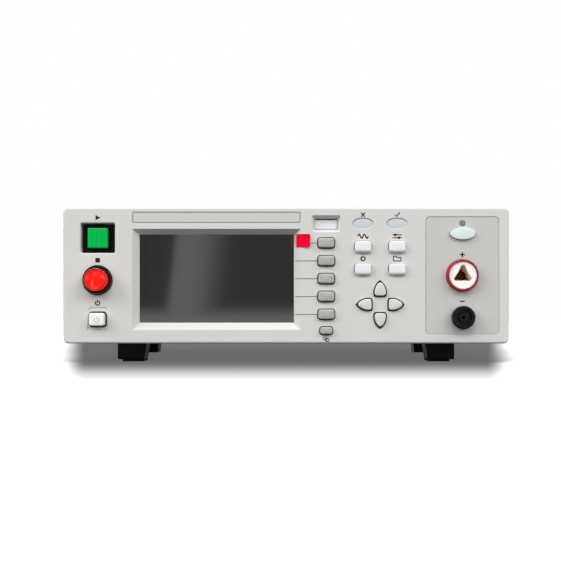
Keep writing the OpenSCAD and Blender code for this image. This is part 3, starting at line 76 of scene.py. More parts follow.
class Wire:
    """A socket's value in a node tree: arithmetic on it adds Math nodes, and node() adds any other node."""

    def __init__(self, socket):
        self.socket = socket

    def node(self, kind, settings, sockets, output=0):
        """Adds a node of that type: settings are set first, then its sockets get values or wires."""
        tree = self.socket.id_data
        added = tree.nodes.new(kind)
        for name, value in settings.items():
            setattr(added, name, value)
        for name, value in sockets.items():
            if isinstance(value, Wire):
                tree.links.new(value.socket, added.inputs[name])
            else:
                added.inputs[name].default_value = value
        return Wire(added.outputs[output])

    def math(self, operation, *values):
        """Adds a Math node of that operation on the values."""
        return self.node("ShaderNodeMath", {"operation": operation}, dict(enumerate(values)))

    def __add__(self, other):
        return self.math("ADD", self, other)

    def __sub__(self, other):
        return self.math("SUBTRACT", self, other)

    def __rsub__(self, other):
        return self.math("SUBTRACT", other, self)

    def __mul__(self, other):
        return self.math("MULTIPLY", self, other)

    def __truediv__(self, other):
        return self.math("DIVIDE", self, other)

    __radd__ = __add__
    __rmul__ = __mul__

    def noise(self, size, detail=3):
        """Cloudy values from 0 to 1 over this wire's coordinates, with clouds of that size in millimetres."""
        sockets = {"Vector": self, "Scale": 1 / (size * mm), "Detail": detail}
        return self.node("ShaderNodeTexNoise", {}, sockets)

    def axis(self, number):
        """One of the three coordinates, in millimetres."""
        return self.node("ShaderNodeSeparateXYZ", {}, {0: self}, number) / mm

    def step(self, start, end):
        """Smooth rise from 0 at start to 1 at end."""
        return self.node("ShaderNodeMapRange", {"interpolation_type": "SMOOTHSTEP"},
                         {"Value": self, "From Min": start, "From Max": end})

    def mix(self, low, high):
        """Colour between low, where this wire is 0, and high, where it is 1."""
        return self.node("ShaderNodeMix", {"data_type": "RGBA"}, {0: self, 6: low, 7: high}, 2)

    def bump(self, depth):
        """Normal of a surface that this wire raises by that depth in millimetres."""
        return self.node("ShaderNodeBump", {}, {"Distance": depth * mm, "Height": self})

    def feeds(self, shader, socket):
        """Links this wire to a socket of the shader."""
        self.socket.id_data.links.new(self.socket, shader.inputs[socket])


def finish(name, **fixed):
    """A material, its one shader with the fixed values on its sockets, and the wire of Object coordinates."""
    material = bpy.data.materials.new(name)
    material.use_nodes = True
    tree = material.node_tree
    shader = tree.nodes["Principled BSDF"]
    for socket, value in fixed.items():
        shader.inputs[socket.replace("_", " ")].default_value = value
    return material, shader, Wire(tree.nodes.new("ShaderNodeTexCoord").outputs["Object"])


def moulded(name, colour, rough, grain, depth, mottle=0.03, **fixed):
    """Even finish with a grain: colour drifts by the mottle over 40 mm and over each grain, roughness drifts
    with it, and grains of that size in millimetres stand up by that depth."""
    material, shader, place = finish(name, **fixed)
    fleck = place.noise(grain, 2)
    tone = place.noise(40) * 0.7 + fleck * 0.3
    tone.mix(linear(colour, 1 - mottle), linear(colour, 1 + mottle)).feeds(shader, "Base Color")
    (rough + (tone - 0.5) * 0.3).feeds(shader, "Roughness")
    fleck.bump(depth).feeds(shader, "Normal")
    return material


def dress(material, *nodes):
    """Puts the material on CAD nodes that show as they are."""
    for node in nodes:
        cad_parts[node].material_slots[0].material = material


powder_coat = moulded("powder_coat", case_grey, 0.48, 0.9, 0.02, Specular_IOR_Level=0.2)
dress(powder_coat, "bottom_chassis", "top_cover", "rear_panel")

# Feet: four black moulded blocks under the chassis, each with a rubber pad pressed into its sole.
# Their edges are rounded by the mould, and a screw goes up through the middle of each.
foot_black = (13, 15, 19)
pad_black = (22, 22, 23)
foot_edge = 1.2
pad_edge = 0.7


def finished(name, node, shape, material, body):
    """The object of a reworked copy of a node, in the node's place on its body. The normals that came
    with the node are removed."""
    mesh = bpy.data.meshes.new(name)
    shape.to_mesh(mesh)
    shape.free()
    mesh.attributes.remove(mesh.attributes["custom_normal"])
    mesh.shade_smooth()
    mesh.materials.clear()
    mesh.materials.append(material)
    copy = bpy.data.objects.new(name, mesh)
    bpy.context.scene.collection.objects.link(copy)
    copy.modifiers.new("even_faces", "WEIGHTED_NORMAL").keep_sharp = True
    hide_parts(node)
    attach(copy, body)
    return copy


def merged(node):
    """The node's own shape with its triangles merged and those in one plane joined."""
    shape = bmesh.new()
    shape.from_mesh(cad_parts[node].data)
    bmesh.ops.remove_doubles(shape, verts=shape.verts, dist=0.001 * mm)
    bmesh.ops.dissolve_limit(shape, angle_limit=math.radians(0.3), verts=shape.verts, edges=shape.edges)
    return shape


def eased_copy(name, node, width, material, body="tester"):
    """The merged node, in which every edge sharper than 30 degrees gets a bevel of that width."""
    copy = finished(name, node, merged(node), material, body)
    bevel = copy.modifiers.new("rounded_edges", "BEVEL")
    bevel.width = width * mm
    bevel.segments = 3
    bevel.limit_method = "ANGLE"
    bevel.angle_limit = math.radians(30)
    bevel.use_clamp_overlap = False
    copy.modifiers.move(1, 0)


black_plastic = moulded("black_plastic", foot_black, 0.45, 0.5, 0.02, 0.12, Specular_IOR_Level=0.1)
pad_rubber = moulded("pad_rubber", pad_black, 0.75, 0.7, 0.03, 0.15, Specular_IOR_Level=0.1)
eased_copy("front_foot_blocks", "front_feet", foot_edge, black_plastic)
eased_copy("rear_foot_blocks", "rear_feet", foot_edge, black_plastic)
eased_copy("sole_pads", "foot_pads", pad_edge, pad_rubber)

# Inside: two transformers with varnished cores, and the boards that drive the panel and the test voltage.
# The case hides all but glimpses of them through the slots, and screws hold them.
varnish = (92, 74, 56)
solder_mask = (24, 78, 52)
zinc_grey = (196, 198, 200)
brass_yellow = (201, 165, 96)
sheet_pitch, track_pitch = 2.2, 7


def core_iron_finish():
    """Stacked core sheets: a wave across the sheets darkens their joints and sets the varnish back there."""
    material, shader, place = finish("core_iron", Metallic=0.55)
    sheets = place.node("ShaderNodeTexWave", {"bands_direction": "Y"},
                        {"Vector": place, "Scale": 0.314 / (sheet_pitch * mm), "Distortion": 0.4})
    tone = sheets * 0.7 + place.noise(6) * 0.3
    tone.mix(linear(varnish, 0.45), linear(varnish, 1.2)).feeds(shader, "Base Color")
    (0.62 - place.noise(9) * 0.3).feeds(shader, "Roughness")
    sheets.bump(0.1).feeds(shader, "Normal")
    return material


def board_finish():
    """Solder mask over copper: a cell pattern lightens the tracks, and fine clouds vary its gloss."""
    material, shader, place = finish("circuit_board", Coat_Weight=0.3)
    tracks = place.node("ShaderNodeTexVoronoi", {"feature": "DISTANCE_TO_EDGE", "distance": "MANHATTAN"},
                        {"Vector": place, "Scale": 1 / (track_pitch * mm)}).step(0.04, 0.09)
    tracks.mix(linear(solder_mask, 1.8), linear(solder_mask, 0.9)).feeds(shader, "Base Color")
    (0.25 + place.noise(2) * 0.25).feeds(shader, "Roughness")
    tracks.bump(0.03).feeds(shader, "Normal")
    return material


def metal(name, colour, rough, grain):
    """Plated metal: fine clouds vary its colour a little and its polish more."""
    material, shader, place = finish(name, Metallic=1)
    cloud = place.noise(grain, 5)
    cloud.mix(linear(colour, 0.88), linear(colour, 1.08)).feeds(shader, "Base Color")
    (rough + (cloud - 0.5) * 0.35).feeds(shader, "Roughness")
    cloud.bump(0.01).feeds(shader, "Normal")
    return material


core_iron = core_iron_finish()
board_green = board_finish()
zinc_plate = metal("zinc_plate", zinc_grey, 0.34, 3)
brass_plate = metal("brass_plate", brass_yellow, 0.3, 2)
dress(core_iron, "mains_transformer", "hv_transformer")
dress(board_green, "main_board", "front_board")
dress(zinc_plate, "display_module", "return_nut", "usb_socket", "board_screws")
dress(black_plastic, "start_switch", "start_plunger", "stop_switch", "power_switch", "key_switches")

# Fan: a square frame behind the rear panel with a seven-bladed rotor on its motor hub, all moulded in black.
# A guard of welded wire rings keeps fingers out and is held by the frame's own four screws.
blade_count = 7
blade_sweep = 0.62
blade_thick = 1.6
blade_lag = 0.18
blade_root, blade_clear = 0.6, 2
hub_r, hub_flat, hub_edge = 19.5, 4, 1.6
housing_edge = 0.6
guard_wire, arm_wire = 0.8, 0.76
guard_pitch, guard_rings = 7.5, 5
guard_eye, eye_inset, arm_gap = 3.4, 5, 3.2


def measured(node):
    """A node's lowest and highest corners and its middle, in millimetres."""
    low, high = (np.array(corner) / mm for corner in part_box(node))
    return low, high, (low + high) / 2


def oval(half_width, half_height, around=64):
    """Ellipse about the origin: the half widths times the cosine and sine of an even run of angles."""
    angle = np.linspace(0, 2 * math.pi, around, endpoint=False)
    return np.column_stack([half_width * np.cos(angle), half_height * np.sin(angle)])


def eased(points, reach, steps=5, closed=False):
    """Line with rounded corners: within that reach of a corner it follows the parabola that touches both
    sides."""
    points = np.asarray(points, float)
    to_last, to_next = np.roll(points, 1, 0) - points, np.roll(points, -1, 0) - points
    reach = np.broadcast_to(np.reshape(reach, (-1, 1)), (len(points), 1))
    start = points + reach * to_last / np.linalg.norm(to_last, axis=1, keepdims=True)
    end = points + reach * to_next / np.linalg.norm(to_next, axis=1, keepdims=True)
    run = np.linspace(0, 1, steps)[None, :, None]
    curve = (1 - run) ** 2 * start[:, None] + 2 * run * (1 - run) * points[:, None] + run ** 2 * end[:, None]
    if closed:
        return curve.reshape(-1, 2)
    return np.vstack([points[:1], curve[1:-1].reshape(-1, 2), points[-1:]])


def stand(flat, at, out=(0, -1, 0), up=(0, 0, 1)):
    """Points given across, up and out of a face, turned so that out runs that way, and moved to at."""
    placed = np.asarray(at) + flat[..., :1] * np.cross(up, out) + flat[..., 1:2] * np.array(up)
    return placed + flat[..., 2:] * np.array(out)


def stack(outlines, heights, at, out=(0, -1, 0), up=(0, 0, 1)):
    """Rings on a face: every flat outline is lifted out of the face by its own height."""
    outlines = np.asarray(outlines, float)
    heights = np.broadcast_to(np.reshape(heights, (-1, 1, 1)), outlines.shape[:2] + (1,))
    return stand(np.concatenate([outlines, heights], 2), at, out, up)


def loft(rings, joined=False):
    """Skin over an array of rings: quads join each ring to the next; the ends are closed by flat faces, or
    the last ring is joined to the first. Gives points, the corners of all faces in a row, and each face's
    count."""
    count, around = rings.shape[:2]
    index = np.arange(count * around).reshape(count, around)
    first, second = (index, np.roll(index, -1, 0)) if joined else (index[:-1], index[1:])
    quads = np.stack([first, np.roll(first, -1, 1), np.roll(second, -1, 1), second], -1).reshape(-1, 4)
    corners, counts = quads.ravel(), np.full(len(quads), 4)
    if not joined:
        corners = np.concatenate([corners, index[0], index[-1]])
        counts = np.concatenate([counts, [around, around]])
    return rings.reshape(-1, 3), corners, counts


def turned(profile, at, out=(0, -1, 0), joined=False, around=64):
    """Turned part: a profile of radius and height is carried around an axis that runs along out."""
    profile = np.asarray(profile, float)
    return loft(stack(profile[:, :1, None] * oval(1, 1, around), profile[:, 1], at, out), joined)


def piece(name, skins, material, slot, body, *nodes):
    """One object from several skins, turned outwards, that takes the place of the nodes."""
    points = np.vstack([skin[0] for skin in skins]) * mm
    shift = np.cumsum([0] + [len(skin[0]) for skin in skins])
    corners = np.concatenate([skin[1] + start for skin, start in zip(skins, shift)])
    counts = np.concatenate([skin[2] for skin in skins])
    mesh = bpy.data.meshes.new(name)
    mesh.vertices.add(len(points))
    mesh.vertices.foreach_set("co", points.ravel())
    mesh.loops.add(len(corners))
    mesh.loops.foreach_set("vertex_index", corners)
    mesh.polygons.add(len(counts))
    mesh.polygons.foreach_set("loop_start", np.cumsum(counts) - counts)
    mesh.update(calc_edges=True)
    shape = bmesh.new()
    shape.from_mesh(mesh)
    bmesh.ops.recalc_face_normals(shape, faces=shape.faces)
    shape.to_mesh(mesh)
    shape.free()
    mesh.shade_smooth()
    mesh.set_sharp_from_angle(angle=math.radians(38))
    mesh.materials.append(material)
    made = bpy.data.objects.new(name, mesh)
    bpy.context.scene.collection.objects.link(made)
    made.modifiers.new("even_faces", "WEIGHTED_NORMAL").keep_sharp = True
    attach(made, body)
    for node in nodes:
        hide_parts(node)


def blade(root_r, tip_r, low_y, high_y, start, middle):
    """Fan blade: at each radius a thin lens-shaped section runs from one end of the hub to the other and
    sweeps round the axis by a fixed angle, so the pitch grows towards the root."""
    radius = np.linspace(root_r, tip_r, 9)[:, None]
    section = oval(1, 1, 28)
    along, thick = section[None, :, 0], section[None, :, 1]
    lag = (radius - root_r) / (tip_r - root_r) * blade_lag
    angle = start + lag + along * blade_sweep / 2 + thick * blade_thick / (2 * radius)
    depth = (low_y + high_y) / 2 + along * (high_y - low_y) / 2 - thick * blade_thick / 3
    return loft(np.stack([middle[0] + radius * np.cos(angle), depth + 0 * radius,
                          middle[2] + radius * np.sin(angle)], -1))


def wire_ring(radius, at):
    """Ring of round wire: a small circle carried round a large one."""
    return turned(oval(guard_wire, guard_wire, 12) + [radius, 0], at, joined=True, around=72)


eased_copy("fan_housing", "fan_frame", housing_edge, black_plastic)
fan_low, fan_high, fan_mid = measured("fan_rotor")
fan_tip = (fan_high[0] - fan_low[0]) / 2
blade_low, blade_high = fan_low[1] + blade_clear, fan_high[1] - blade_clear
hub_profile = eased([(hub_flat, fan_low[1]), (hub_r, fan_low[1]), (hub_r, fan_high[1]),
                     (hub_flat, fan_high[1])], hub_edge)
rotor = [turned(hub_profile, (fan_mid[0], 0, fan_mid[2]), (0, 1, 0))]
rotor += [blade(hub_r - blade_root, fan_tip, blade_low, blade_high, 2 * math.pi * i / blade_count, fan_mid)
          for i in range(blade_count)]
piece("fan_blades", rotor, black_plastic, "black_plastic", "fan_rotor", "fan_rotor")
guard_low, guard_high, guard_mid = measured("fan_guard")
screw_off = (guard_high[0] - guard_low[0]) / 2 - eye_inset
guard_corners = [guard_mid + screw_off * np.array([a, 0, b]) for a in (-1, 1) for b in (-1, 1)]
guard = [wire_ring(guard_pitch * (i + 1), guard_mid) for i in range(guard_rings)]
guard += [wire_ring(guard_eye, corner) for corner in guard_corners]
for side in (-1, 1):
    run = np.array([1, 0, side]) / math.sqrt(2)
    reach = screw_off * math.sqrt(2) - arm_gap
    arm_ends = [oval(arm_wire, arm_wire, 12)] * 2
    guard.append(loft(stack(arm_ends, [-reach, reach], guard_mid, run, (0, 1, 0))))
piece("finger_guard", guard, zinc_plate, "steel", "tester", "fan_guard")

# Mains inlet and its fuse drawer: a black moulded socket screwed into the rear panel, with three plated
# blades. The drawer slides out of the lower half and holds the fuses.
inlet_edge = 0.4
prong_wide, prong_tall, prong_round = 2.3, 4.3, 0.4
prong_heights = [-16, -5.6, -4.7]
prong_spots = ((-7, -2), (7, -2), (0, 2))
prong_rise = 8
eased_copy("inlet_body", "mains_inlet", inlet_edge, black_plastic)
eased_copy("fuse_tray", "fuse_drawer", inlet_edge, black_plastic, "fuse_drawer")


def rounded_box(width, height, radius, arc=9):
    """Rectangle about the origin with round corners: four quarter circles that the straight sides join."""
    turn = (np.arange(4)[:, None] * math.pi / 2 + np.linspace(0, math.pi / 2, arc)).ravel()
    corner = np.array([[1, 1], [-1, 1], [-1, -1], [1, -1]]).repeat(arc, 0)
    quarters = radius * np.column_stack([np.cos(turn), np.sin(turn)])
    return corner * [width / 2 - radius, height / 2 - radius] + quarters


_, inlet_high, inlet_mid = measured("mains_inlet")
inlet_at = np.array([inlet_mid[0], inlet_high[1], inlet_mid[2] + prong_rise])
prong_rings = [rounded_box(prong_wide - cut, prong_tall - cut, prong_round) for cut in (0, 0, 0.5)]
prongs = [loft(stack(prong_rings, prong_heights, inlet_at + [x, 0, z], (0, 1, 0))) for x, z in prong_spots]
piece("inlet_blades", prongs, zinc_plate, "steel", "tester")

# Earth stud: a brass screw through the rear panel with a washer and a hexagon nut, for the bench's earth
# lead. Its thread is rolled, and the nut's corners are chamfered.
thread_r, thread_pitch, thread_depth = 2.5, 0.8, 0.35
thread_back = -2
nut_half, nut_low, nut_high = 4, 1, 4.6
washer_r, washer_bore = 4.6, 2
_, stud_high, stud_mid = measured("earth_stud")
rear_y = measured("rear_panel")[1][1]


def hexagon(apothem, around=72):
    """Hexagon about the origin: at each angle the radius is the apothem over the cosine of the angle from the
    middle of the nearest side."""
    angle = np.linspace(0, 2 * math.pi, around, endpoint=False)
    radius = apothem / np.cos((angle + math.pi / 6) % (math.pi / 3) - math.pi / 6)
    return np.column_stack([radius * np.cos(angle), radius * np.sin(angle)])


def nut(apothem, low, high, at, out):
    """Hexagon nut: its corners are cut back to a circle at both ends."""
    full = hexagon(apothem)
    round_end = full * np.minimum(1, apothem * 0.99 / np.linalg.norm(full, axis=1, keepdims=True))
    ends = [round_end, full, full, round_end]
    return loft(stack(ends, [low, low + 0.6, high - 0.6, high], at, out))


def threaded(radius, low, high, at, out):
    """Threaded rod: the radius dips by the thread's depth along a wave that climbs one pitch in a turn."""
    height = np.arange(low, high, thread_pitch / 8)[:, None]
    angle = np.linspace(0, 2 * math.pi, 36, endpoint=False)[None]
    wave = 0.5 + 0.5 * np.cos(2 * math.pi * (height / thread_pitch - angle / (2 * math.pi)))
    grow = radius - thread_depth * wave - 0.6 * np.clip((height - high + 0.8) / 0.8, 0, 1)
    rod = np.stack([grow * np.cos(angle), grow * np.sin(angle), height + 0 * angle], -1)
    return loft(stand(rod, at, out))


stud_at = (stud_mid[0], rear_y, stud_mid[2])
stud_tip = stud_high[1] - rear_y
washer_line = eased([(washer_bore, 0), (washer_r, 0), (washer_r, nut_low), (washer_bore, nut_low)], 0.25)
piece("earth_terminal", [threaded(thread_r, thread_back, stud_tip, stud_at, (0, 1, 0)),
                         nut(nut_half, nut_low, nut_high, stud_at, (0, 1, 0)),
                         turned(washer_line, stud_at, (0, 1, 0))],
      brass_plate, "brass", "tester", "earth_stud")

# Two ports on the rear panel: pressed steel shells of a rounded D, with a black insert that holds the pins.
# Threaded hexagon posts at both ends take the plug's screws.
serial_wide, handler_wide, port_tall = 17, 40, 8.6
port_depth, port_wall = 6, 0.6
dee_round = 2.2
brim_wide, brim_tall = 5, 3.4
pin_pitch, pin_rise = 2.7, 1.4
post_off, post_half, post_high = 6.4, 2.4, 5


def dee(width, height, inset=0):
    """Rounded D: a box whose lower side is shorter by the ten degrees that the ends lean in."""
    lean = height * math.tan(math.radians(10))
    half, tall = width / 2 - inset, height / 2 - inset
    corners = [(half, tall), (-half, tall), (-half + lean, -tall), (half - lean, -tall)]
    return eased(corners, dee_round - inset, 6, True)


def port(name, node, width, columns):
    """Port: the shell goes up outside, over its rim and down inside to the insert, which carries two rows of
    pins."""
    mid = measured(node)[2]
    at, out = (mid[0], rear_y, mid[2]), (0, 1, 0)
    brim = dee(width + brim_wide, port_tall + brim_tall)
    rings = [brim, brim, dee(width + 0.6, port_tall + 0.6)]
    rings += [dee(width, port_tall, inset) for inset in (0, 0.1, port_wall, port_wall)]
    shell = loft(stack(rings, [0, 0.8, 0.8, 1.2, port_depth, port_depth, 1.6], at, out))
    reach = width / 2 + post_off
    posts = [nut(post_half, 0, post_high, (mid[0] + side * reach, rear_y, mid[2]), out) for side in (-1, 1)]
    piece(name + "_shell", [shell] + posts, zinc_plate, "steel", "tester", node)
    insert_rings = [dee(width, port_tall, inset) for inset in (1.3, 1.3, 1.6)]
    insert = loft(stack(insert_rings, [1.5, 4.2, 4.5], at, out))
    piece(name + "_insert", [insert], black_plastic, "black_plastic", "tester")
    top = (np.arange(columns) - (columns - 1) / 2) * pin_pitch
    across = np.concatenate([top, (top[1:] + top[:-1]) / 2])
    rise = np.concatenate([np.full(columns, pin_rise), np.full(columns - 1, -pin_rise)])
    pin = eased([(0.5, 4), (0.5, 5.5), (0.12, 5.8)], 0.2)
    pins = [turned(pin, (mid[0] + x, rear_y, mid[2] + z), out, False, 12) for x, z in zip(across, rise)]
    piece(name + "_pins", pins, brass_plate, "brass", "tester")


port("serial", "serial_port", serial_wide, 5)
port("handler", "handler_port", handler_wide, 13)

# Front panel: one light grey moulding with soft edges, pockets for the plates, a bevelled window for the
# screen and holes for every control. The mould's spark-eroded skin gives it a fine, dull grain.
panel_grey = (203, 204, 199)
well_edge, well_reach = 1.4, (18, 16)
lamp_mouth, lamp_reach = 1.0, (12, 7)
panel_edge = 0.4


def eased_face(name, node, widths, material):
    """The merged node with the mouths in its front face rounded: square edges within half a box round a place
    get a bevel of that width, and the flat is filled anew with the triangles from whose middles a line to the
    right crosses its edges an odd number of times."""
    front = measured(node)[0][1]
    shape = merged(node)
    for width, place, reach in widths:
        mouths = [edge for edge in shape.edges if edge.calc_face_angle(0) > math.radians(65)
                  and max(abs(end.co.y / mm - front) for end in edge.verts) < 0.002
                  and max(abs(end.co.x / mm - place[0]) for end in edge.verts) < reach[0]
                  and max(abs(end.co.z / mm - place[2]) for end in edge.verts) < reach[1]]
        bmesh.ops.bevel(shape, geom=mouths, offset=width * mm, offset_type="OFFSET", segments=4, profile=0.5,
                        affect="EDGES", clamp_overlap=False, loop_slide=False)
    flats = {face for face in shape.faces if abs(face.normal.y) > 0.9999
             and max(abs(end.co.y / mm - front) for end in face.verts) < 0.002}
    rims = [edge for edge in shape.edges if sum(face in flats for face in edge.link_faces) == 1]
    ends = list({end for edge in rims for end in edge.verts})
    number = {end: i for i, end in enumerate(ends)}
    bmesh.ops.delete(shape, geom=list(flats), context="FACES_ONLY")
    loose = [edge for edge in shape.edges if not edge.link_faces]
    bmesh.ops.delete(shape, geom=loose, context="EDGES")
    links = [[number[end] for end in edge.verts] for edge in rims]
    points, _, triangles, sources, _, _ = delaunay_2d_cdt([end.co.xz for end in ends], links, [], 0, 1e-7)
    middles = np.array(points)[np.array(triangles)].mean(1)[:, None]
    first, second = (np.array([ends[link[i]].co.xz for link in links])[None] for i in (0, 1))
    rise = np.where(second[..., 1] == first[..., 1], 1, second[..., 1] - first[..., 1])
    meets = first[..., 0] + (middles[..., 1] - first[..., 1]) / rise * (second[..., 0] - first[..., 0])
    level = (first[..., 1] > middles[..., 1]) != (second[..., 1] > middles[..., 1])
    crossed = level & (middles[..., 0] < meets)
    for triangle in np.array(triangles)[crossed.sum(1) % 2 == 1]:
        shape.faces.new([ends[sources[corner][0]] for corner in triangle])
    bmesh.ops.recalc_face_normals(shape, faces=shape.faces)
    copy = finished(name, node, shape, material, "tester")
    copy.data.set_sharp_from_angle(angle=math.radians(29))


panel_plastic = moulded("panel_plastic", panel_grey, 0.5, 0.55, 0.012, 0.02, Specular_IOR_Level=0.35)
everywhere = (measured("front_panel")[2], (250, 250))
panel_mouths = [(well_edge, measured("start_button")[2], well_reach),
                (lamp_mouth, measured("fail_lamp")[2], lamp_reach),
                (lamp_mouth, measured("pass_lamp")[2], lamp_reach),
                (panel_edge, *everywhere)]
eased_face("panel_moulding", "front_panel", panel_mouths, panel_plastic)

# Nameplate and output plate: thin plates of grey sheet glued into pockets of the panel. The nameplate is
# bare; a fine dark line inside its edge is painted shade of the gap round its pocket, and the output plate
# stands round the terminals.
plate_grey = (189, 189, 185)
nameplate_grey = (196, 195, 193)
plate_edge, nameplate_edge = 0.45, 0.2
plate_plastic = moulded("plate_plastic", plate_grey, 0.42, 0.35, 0.008, 0.02, Specular_IOR_Level=0.4)
nameplate_plastic = moulded("nameplate_plastic", nameplate_grey, 0.36, 0.3, 0.006, 0.02,
                            Specular_IOR_Level=0.4)
eased_face("terminal_plate", "output_plate", [(plate_edge, *everywhere)], plate_plastic)
eased_face("name_plate", "nameplate", [(nameplate_edge, *everywhere)], nameplate_plastic)

# Screen: a sheet of glass over the dark display, at the bottom of the bevelled window. A red tab of thin film
# sticks to its upper right corner by its clear start and runs out over the bevel, where its end is lifted.
screen_black = (20, 19, 19)
printed_edge = 9
tab_red = (228, 4, 42)
tab_thick, tab_corner = 0.4, 1.2
tab_stuck, clear_part, bevel_run = 2.8, 5.2, 9.2
tab_loose, tab_lift = 5, 0.9


def glass_finish():
    """Dark glass: a black printed edge, a display that is slightly paler inside it, and faint wiping haze."""
    material, shader, place = finish("screen_glass", IOR=1.5)
    low, high, _ = measured("display_glass")
    left, right = low[0] + printed_edge, high[0] - printed_edge
    across, haze = place.axis(0), place.noise(60, 4)
    inside = across.step(left, left + 0.6) * (1 - across.step(right - 0.6, right))
    display = inside * (0.6 + haze * 0.4)
    display.mix(linear(screen_black, 0.5), linear(screen_black)).feeds(shader, "Base Color")
    (0.03 + haze * 0.05).feeds(shader, "Roughness")
    return material


def film_finish():
    """Thin red film with faint creases, which is clear up to where the colour starts on the bevel."""
    material, shader, place = finish("red_film", Specular_IOR_Level=0.04)
    crease = place.noise(1.5, 2)
    crease.mix(linear(tab_red, 0.96), linear(tab_red, 1.04)).feeds(shader, "Base Color")
    (0.3 + crease * 0.1).feeds(shader, "Roughness")
    crease.bump(0.03).feeds(shader, "Normal")
    coloured = measured("film_pull_tab")[0][0] + clear_part
    (0.05 + place.axis(0).step(coloured - 0.1, coloured + 0.1) * 0.95).feeds(shader, "Alpha")
    return material


def strip(line, middle, width, thick):
    """Flat strip on edge: a line in plan is carried by half the width up and down, and by its thickness out
    of the line to the side that faces the viewer."""
    line = np.asarray(line, float)
    run = np.gradient(line, axis=0)
    side = np.column_stack([run[:, 1], -run[:, 0]]) / np.linalg.norm(run, axis=1, keepdims=True) * thick
    half = np.broadcast_to(np.reshape(width, (-1,)), len(line)) / 2
    lower, upper = middle - half, middle + half
    back, front = line, line + side
    return loft(np.stack([np.column_stack([back, lower]), np.column_stack([back, upper]),
                          np.column_stack([front, upper]), np.column_stack([front, lower])], 1))


dress(glass_finish(), "display_glass")
glass_y = measured("display_glass")[0][1]
tab_low, tab_high, tab_mid = measured("film_pull_tab")
stuck_y = glass_y - 0.05
bevel_top = (tab_low[0] + bevel_run, face_y - 0.1)
tab_line = eased([(tab_low[0], stuck_y), (tab_low[0] + tab_stuck, stuck_y), bevel_top,
                  (tab_high[0] - tab_loose, face_y - tab_lift), (tab_high[0], tab_low[1] + 0.5)], 1.4, 6)
tab_line = np.vstack([np.linspace(a, b, 4, endpoint=False) for a, b in zip(tab_line[:-1], tab_line[1:])])
tab_run = np.concatenate([[0], np.cumsum(np.linalg.norm(np.diff(tab_line, axis=0), axis=1))])
tab_end = np.minimum(tab_run, tab_run[-1] - tab_run)
tab_round = tab_corner * (1 - np.sqrt(1 - np.clip(1 - tab_end / tab_corner, 0, 1) ** 2))
tab_width = tab_high[2] - tab_low[2] - 2 * tab_round
piece("film_tab", [strip(tab_line, tab_mid[2], tab_width, tab_thick)], film_finish(), "red_film", "tester",
      "film_pull_tab")

# Start button: a square green lens snapped onto a black plunger, in the middle of a deep square well.
# The lens is moulded clear green, with ribs on its back that show as faint upright bands.
start_green = (3, 176, 75)
rib_pitch = 5.2
lens_inset = 0.7
lens_round, lens_edge, lens_crown = 1.2, 0.8, 0.15


def lens_finish(name, colour, pitch, contrast, **fixed):
    """Clear moulded lens: ribs behind it lighten it along a wave across X, and clouds vary it a little."""
    material, shader, place = finish(name, **fixed)
    ribs = place.node("ShaderNodeTexWave", {"bands_direction": "X"},
                      {"Vector": place, "Scale": 0.314 / (pitch * mm), "Distortion": 0.6, "Detail": 1})
    tone = ribs * 0.6 + place.noise(5) * 0.4
    tone.mix(linear(colour, 1 - contrast), linear(colour, 1 + contrast)).feeds(shader, "Base Color")
    (0.28 + place.noise(12) * 0.1).feeds(shader, "Roughness")
    ribs.bump(0.01).feeds(shader, "Normal")
    return material


def cap(outline, sides, top, crown, at):
    """Lens or button: the outline is set in by each side's inset at its height, and on top it shrinks to the
    middle while its height rises by the crown times one less the square of its share of the width."""
    share = np.array([0.97, 0.9, 0.78, 0.6, 0.4, 0.2, 0.05])
    last = outline(sides[-1][0])
    rings = [outline(inset) for inset, _ in sides] + [last * s for s in share]
    heights = [height for _, height in sides] + list(top + crown * (1 - share ** 2))
    return loft(stack(rings, heights, at))


def rounded_sides(base, top, edge, inset=0, steps=5):
    """Side of a cap: straight up from its base to a quarter circle that turns it onto its top."""
    turn = np.linspace(0, math.pi / 2, steps)
    curve = [(inset + edge * (1 - math.cos(t)), top - edge * (1 - math.sin(t))) for t in turn]
    return [(inset, base)] + curve


def inset_box(width, tall, radius, least):
    """The outline of a rounded box as a function of its inset: the corners' radius shrinks with it down
    to the least one."""
    return lambda inset: rounded_box(width - 2 * inset, tall - 2 * inset, max(radius - inset, least))


green_lens = lens_finish("green_lens", start_green, rib_pitch, 0.1, Specular_IOR_Level=0.06)
lens_low, lens_high, lens_mid = measured("start_button")
lens_w = lens_high[0] - lens_low[0] - 2 * lens_inset
lens_top = lens_high[1] - lens_low[1] - lens_crown
lens_cap = cap(inset_box(lens_w, lens_w, lens_round, 0.3), rounded_sides(0, lens_top, lens_edge), lens_top,
               lens_crown, (lens_mid[0], lens_high[1], lens_mid[2]))
piece("start_lens", [lens_cap], green_lens, "green_lens", "start_button", "start_button")

# Stop button: a round red cap that stands well out of a black ring, which is pressed into the panel.
# The cap's rim is rounded, and a fine groove runs round its slightly domed face; the groove's darker red is
# painted shade and the pale blots on the face are painted reflections.
stop_red = (250, 30, 22)
glint_pale_red = (255, 84, 66)
groove_shade_red = (140, 2, 8)
bezel_dark = (13, 13, 15)
bezel_low, bezel_high, bezel_mid = measured("stop_bezel")
stop_low, stop_high, stop_mid = measured("stop_button")
bezel_r = (bezel_high[0] - bezel_low[0]) / 2
bezel_h = face_y - bezel_low[1]
bezel_bore, neck_r, neck_back = 11.5, 13, -10
stop_r = (stop_high[0] - stop_low[0]) / 2
stop_h = face_y - stop_low[1]
stop_back = face_y - stop_high[1]
groove_r = stop_r - 1.3


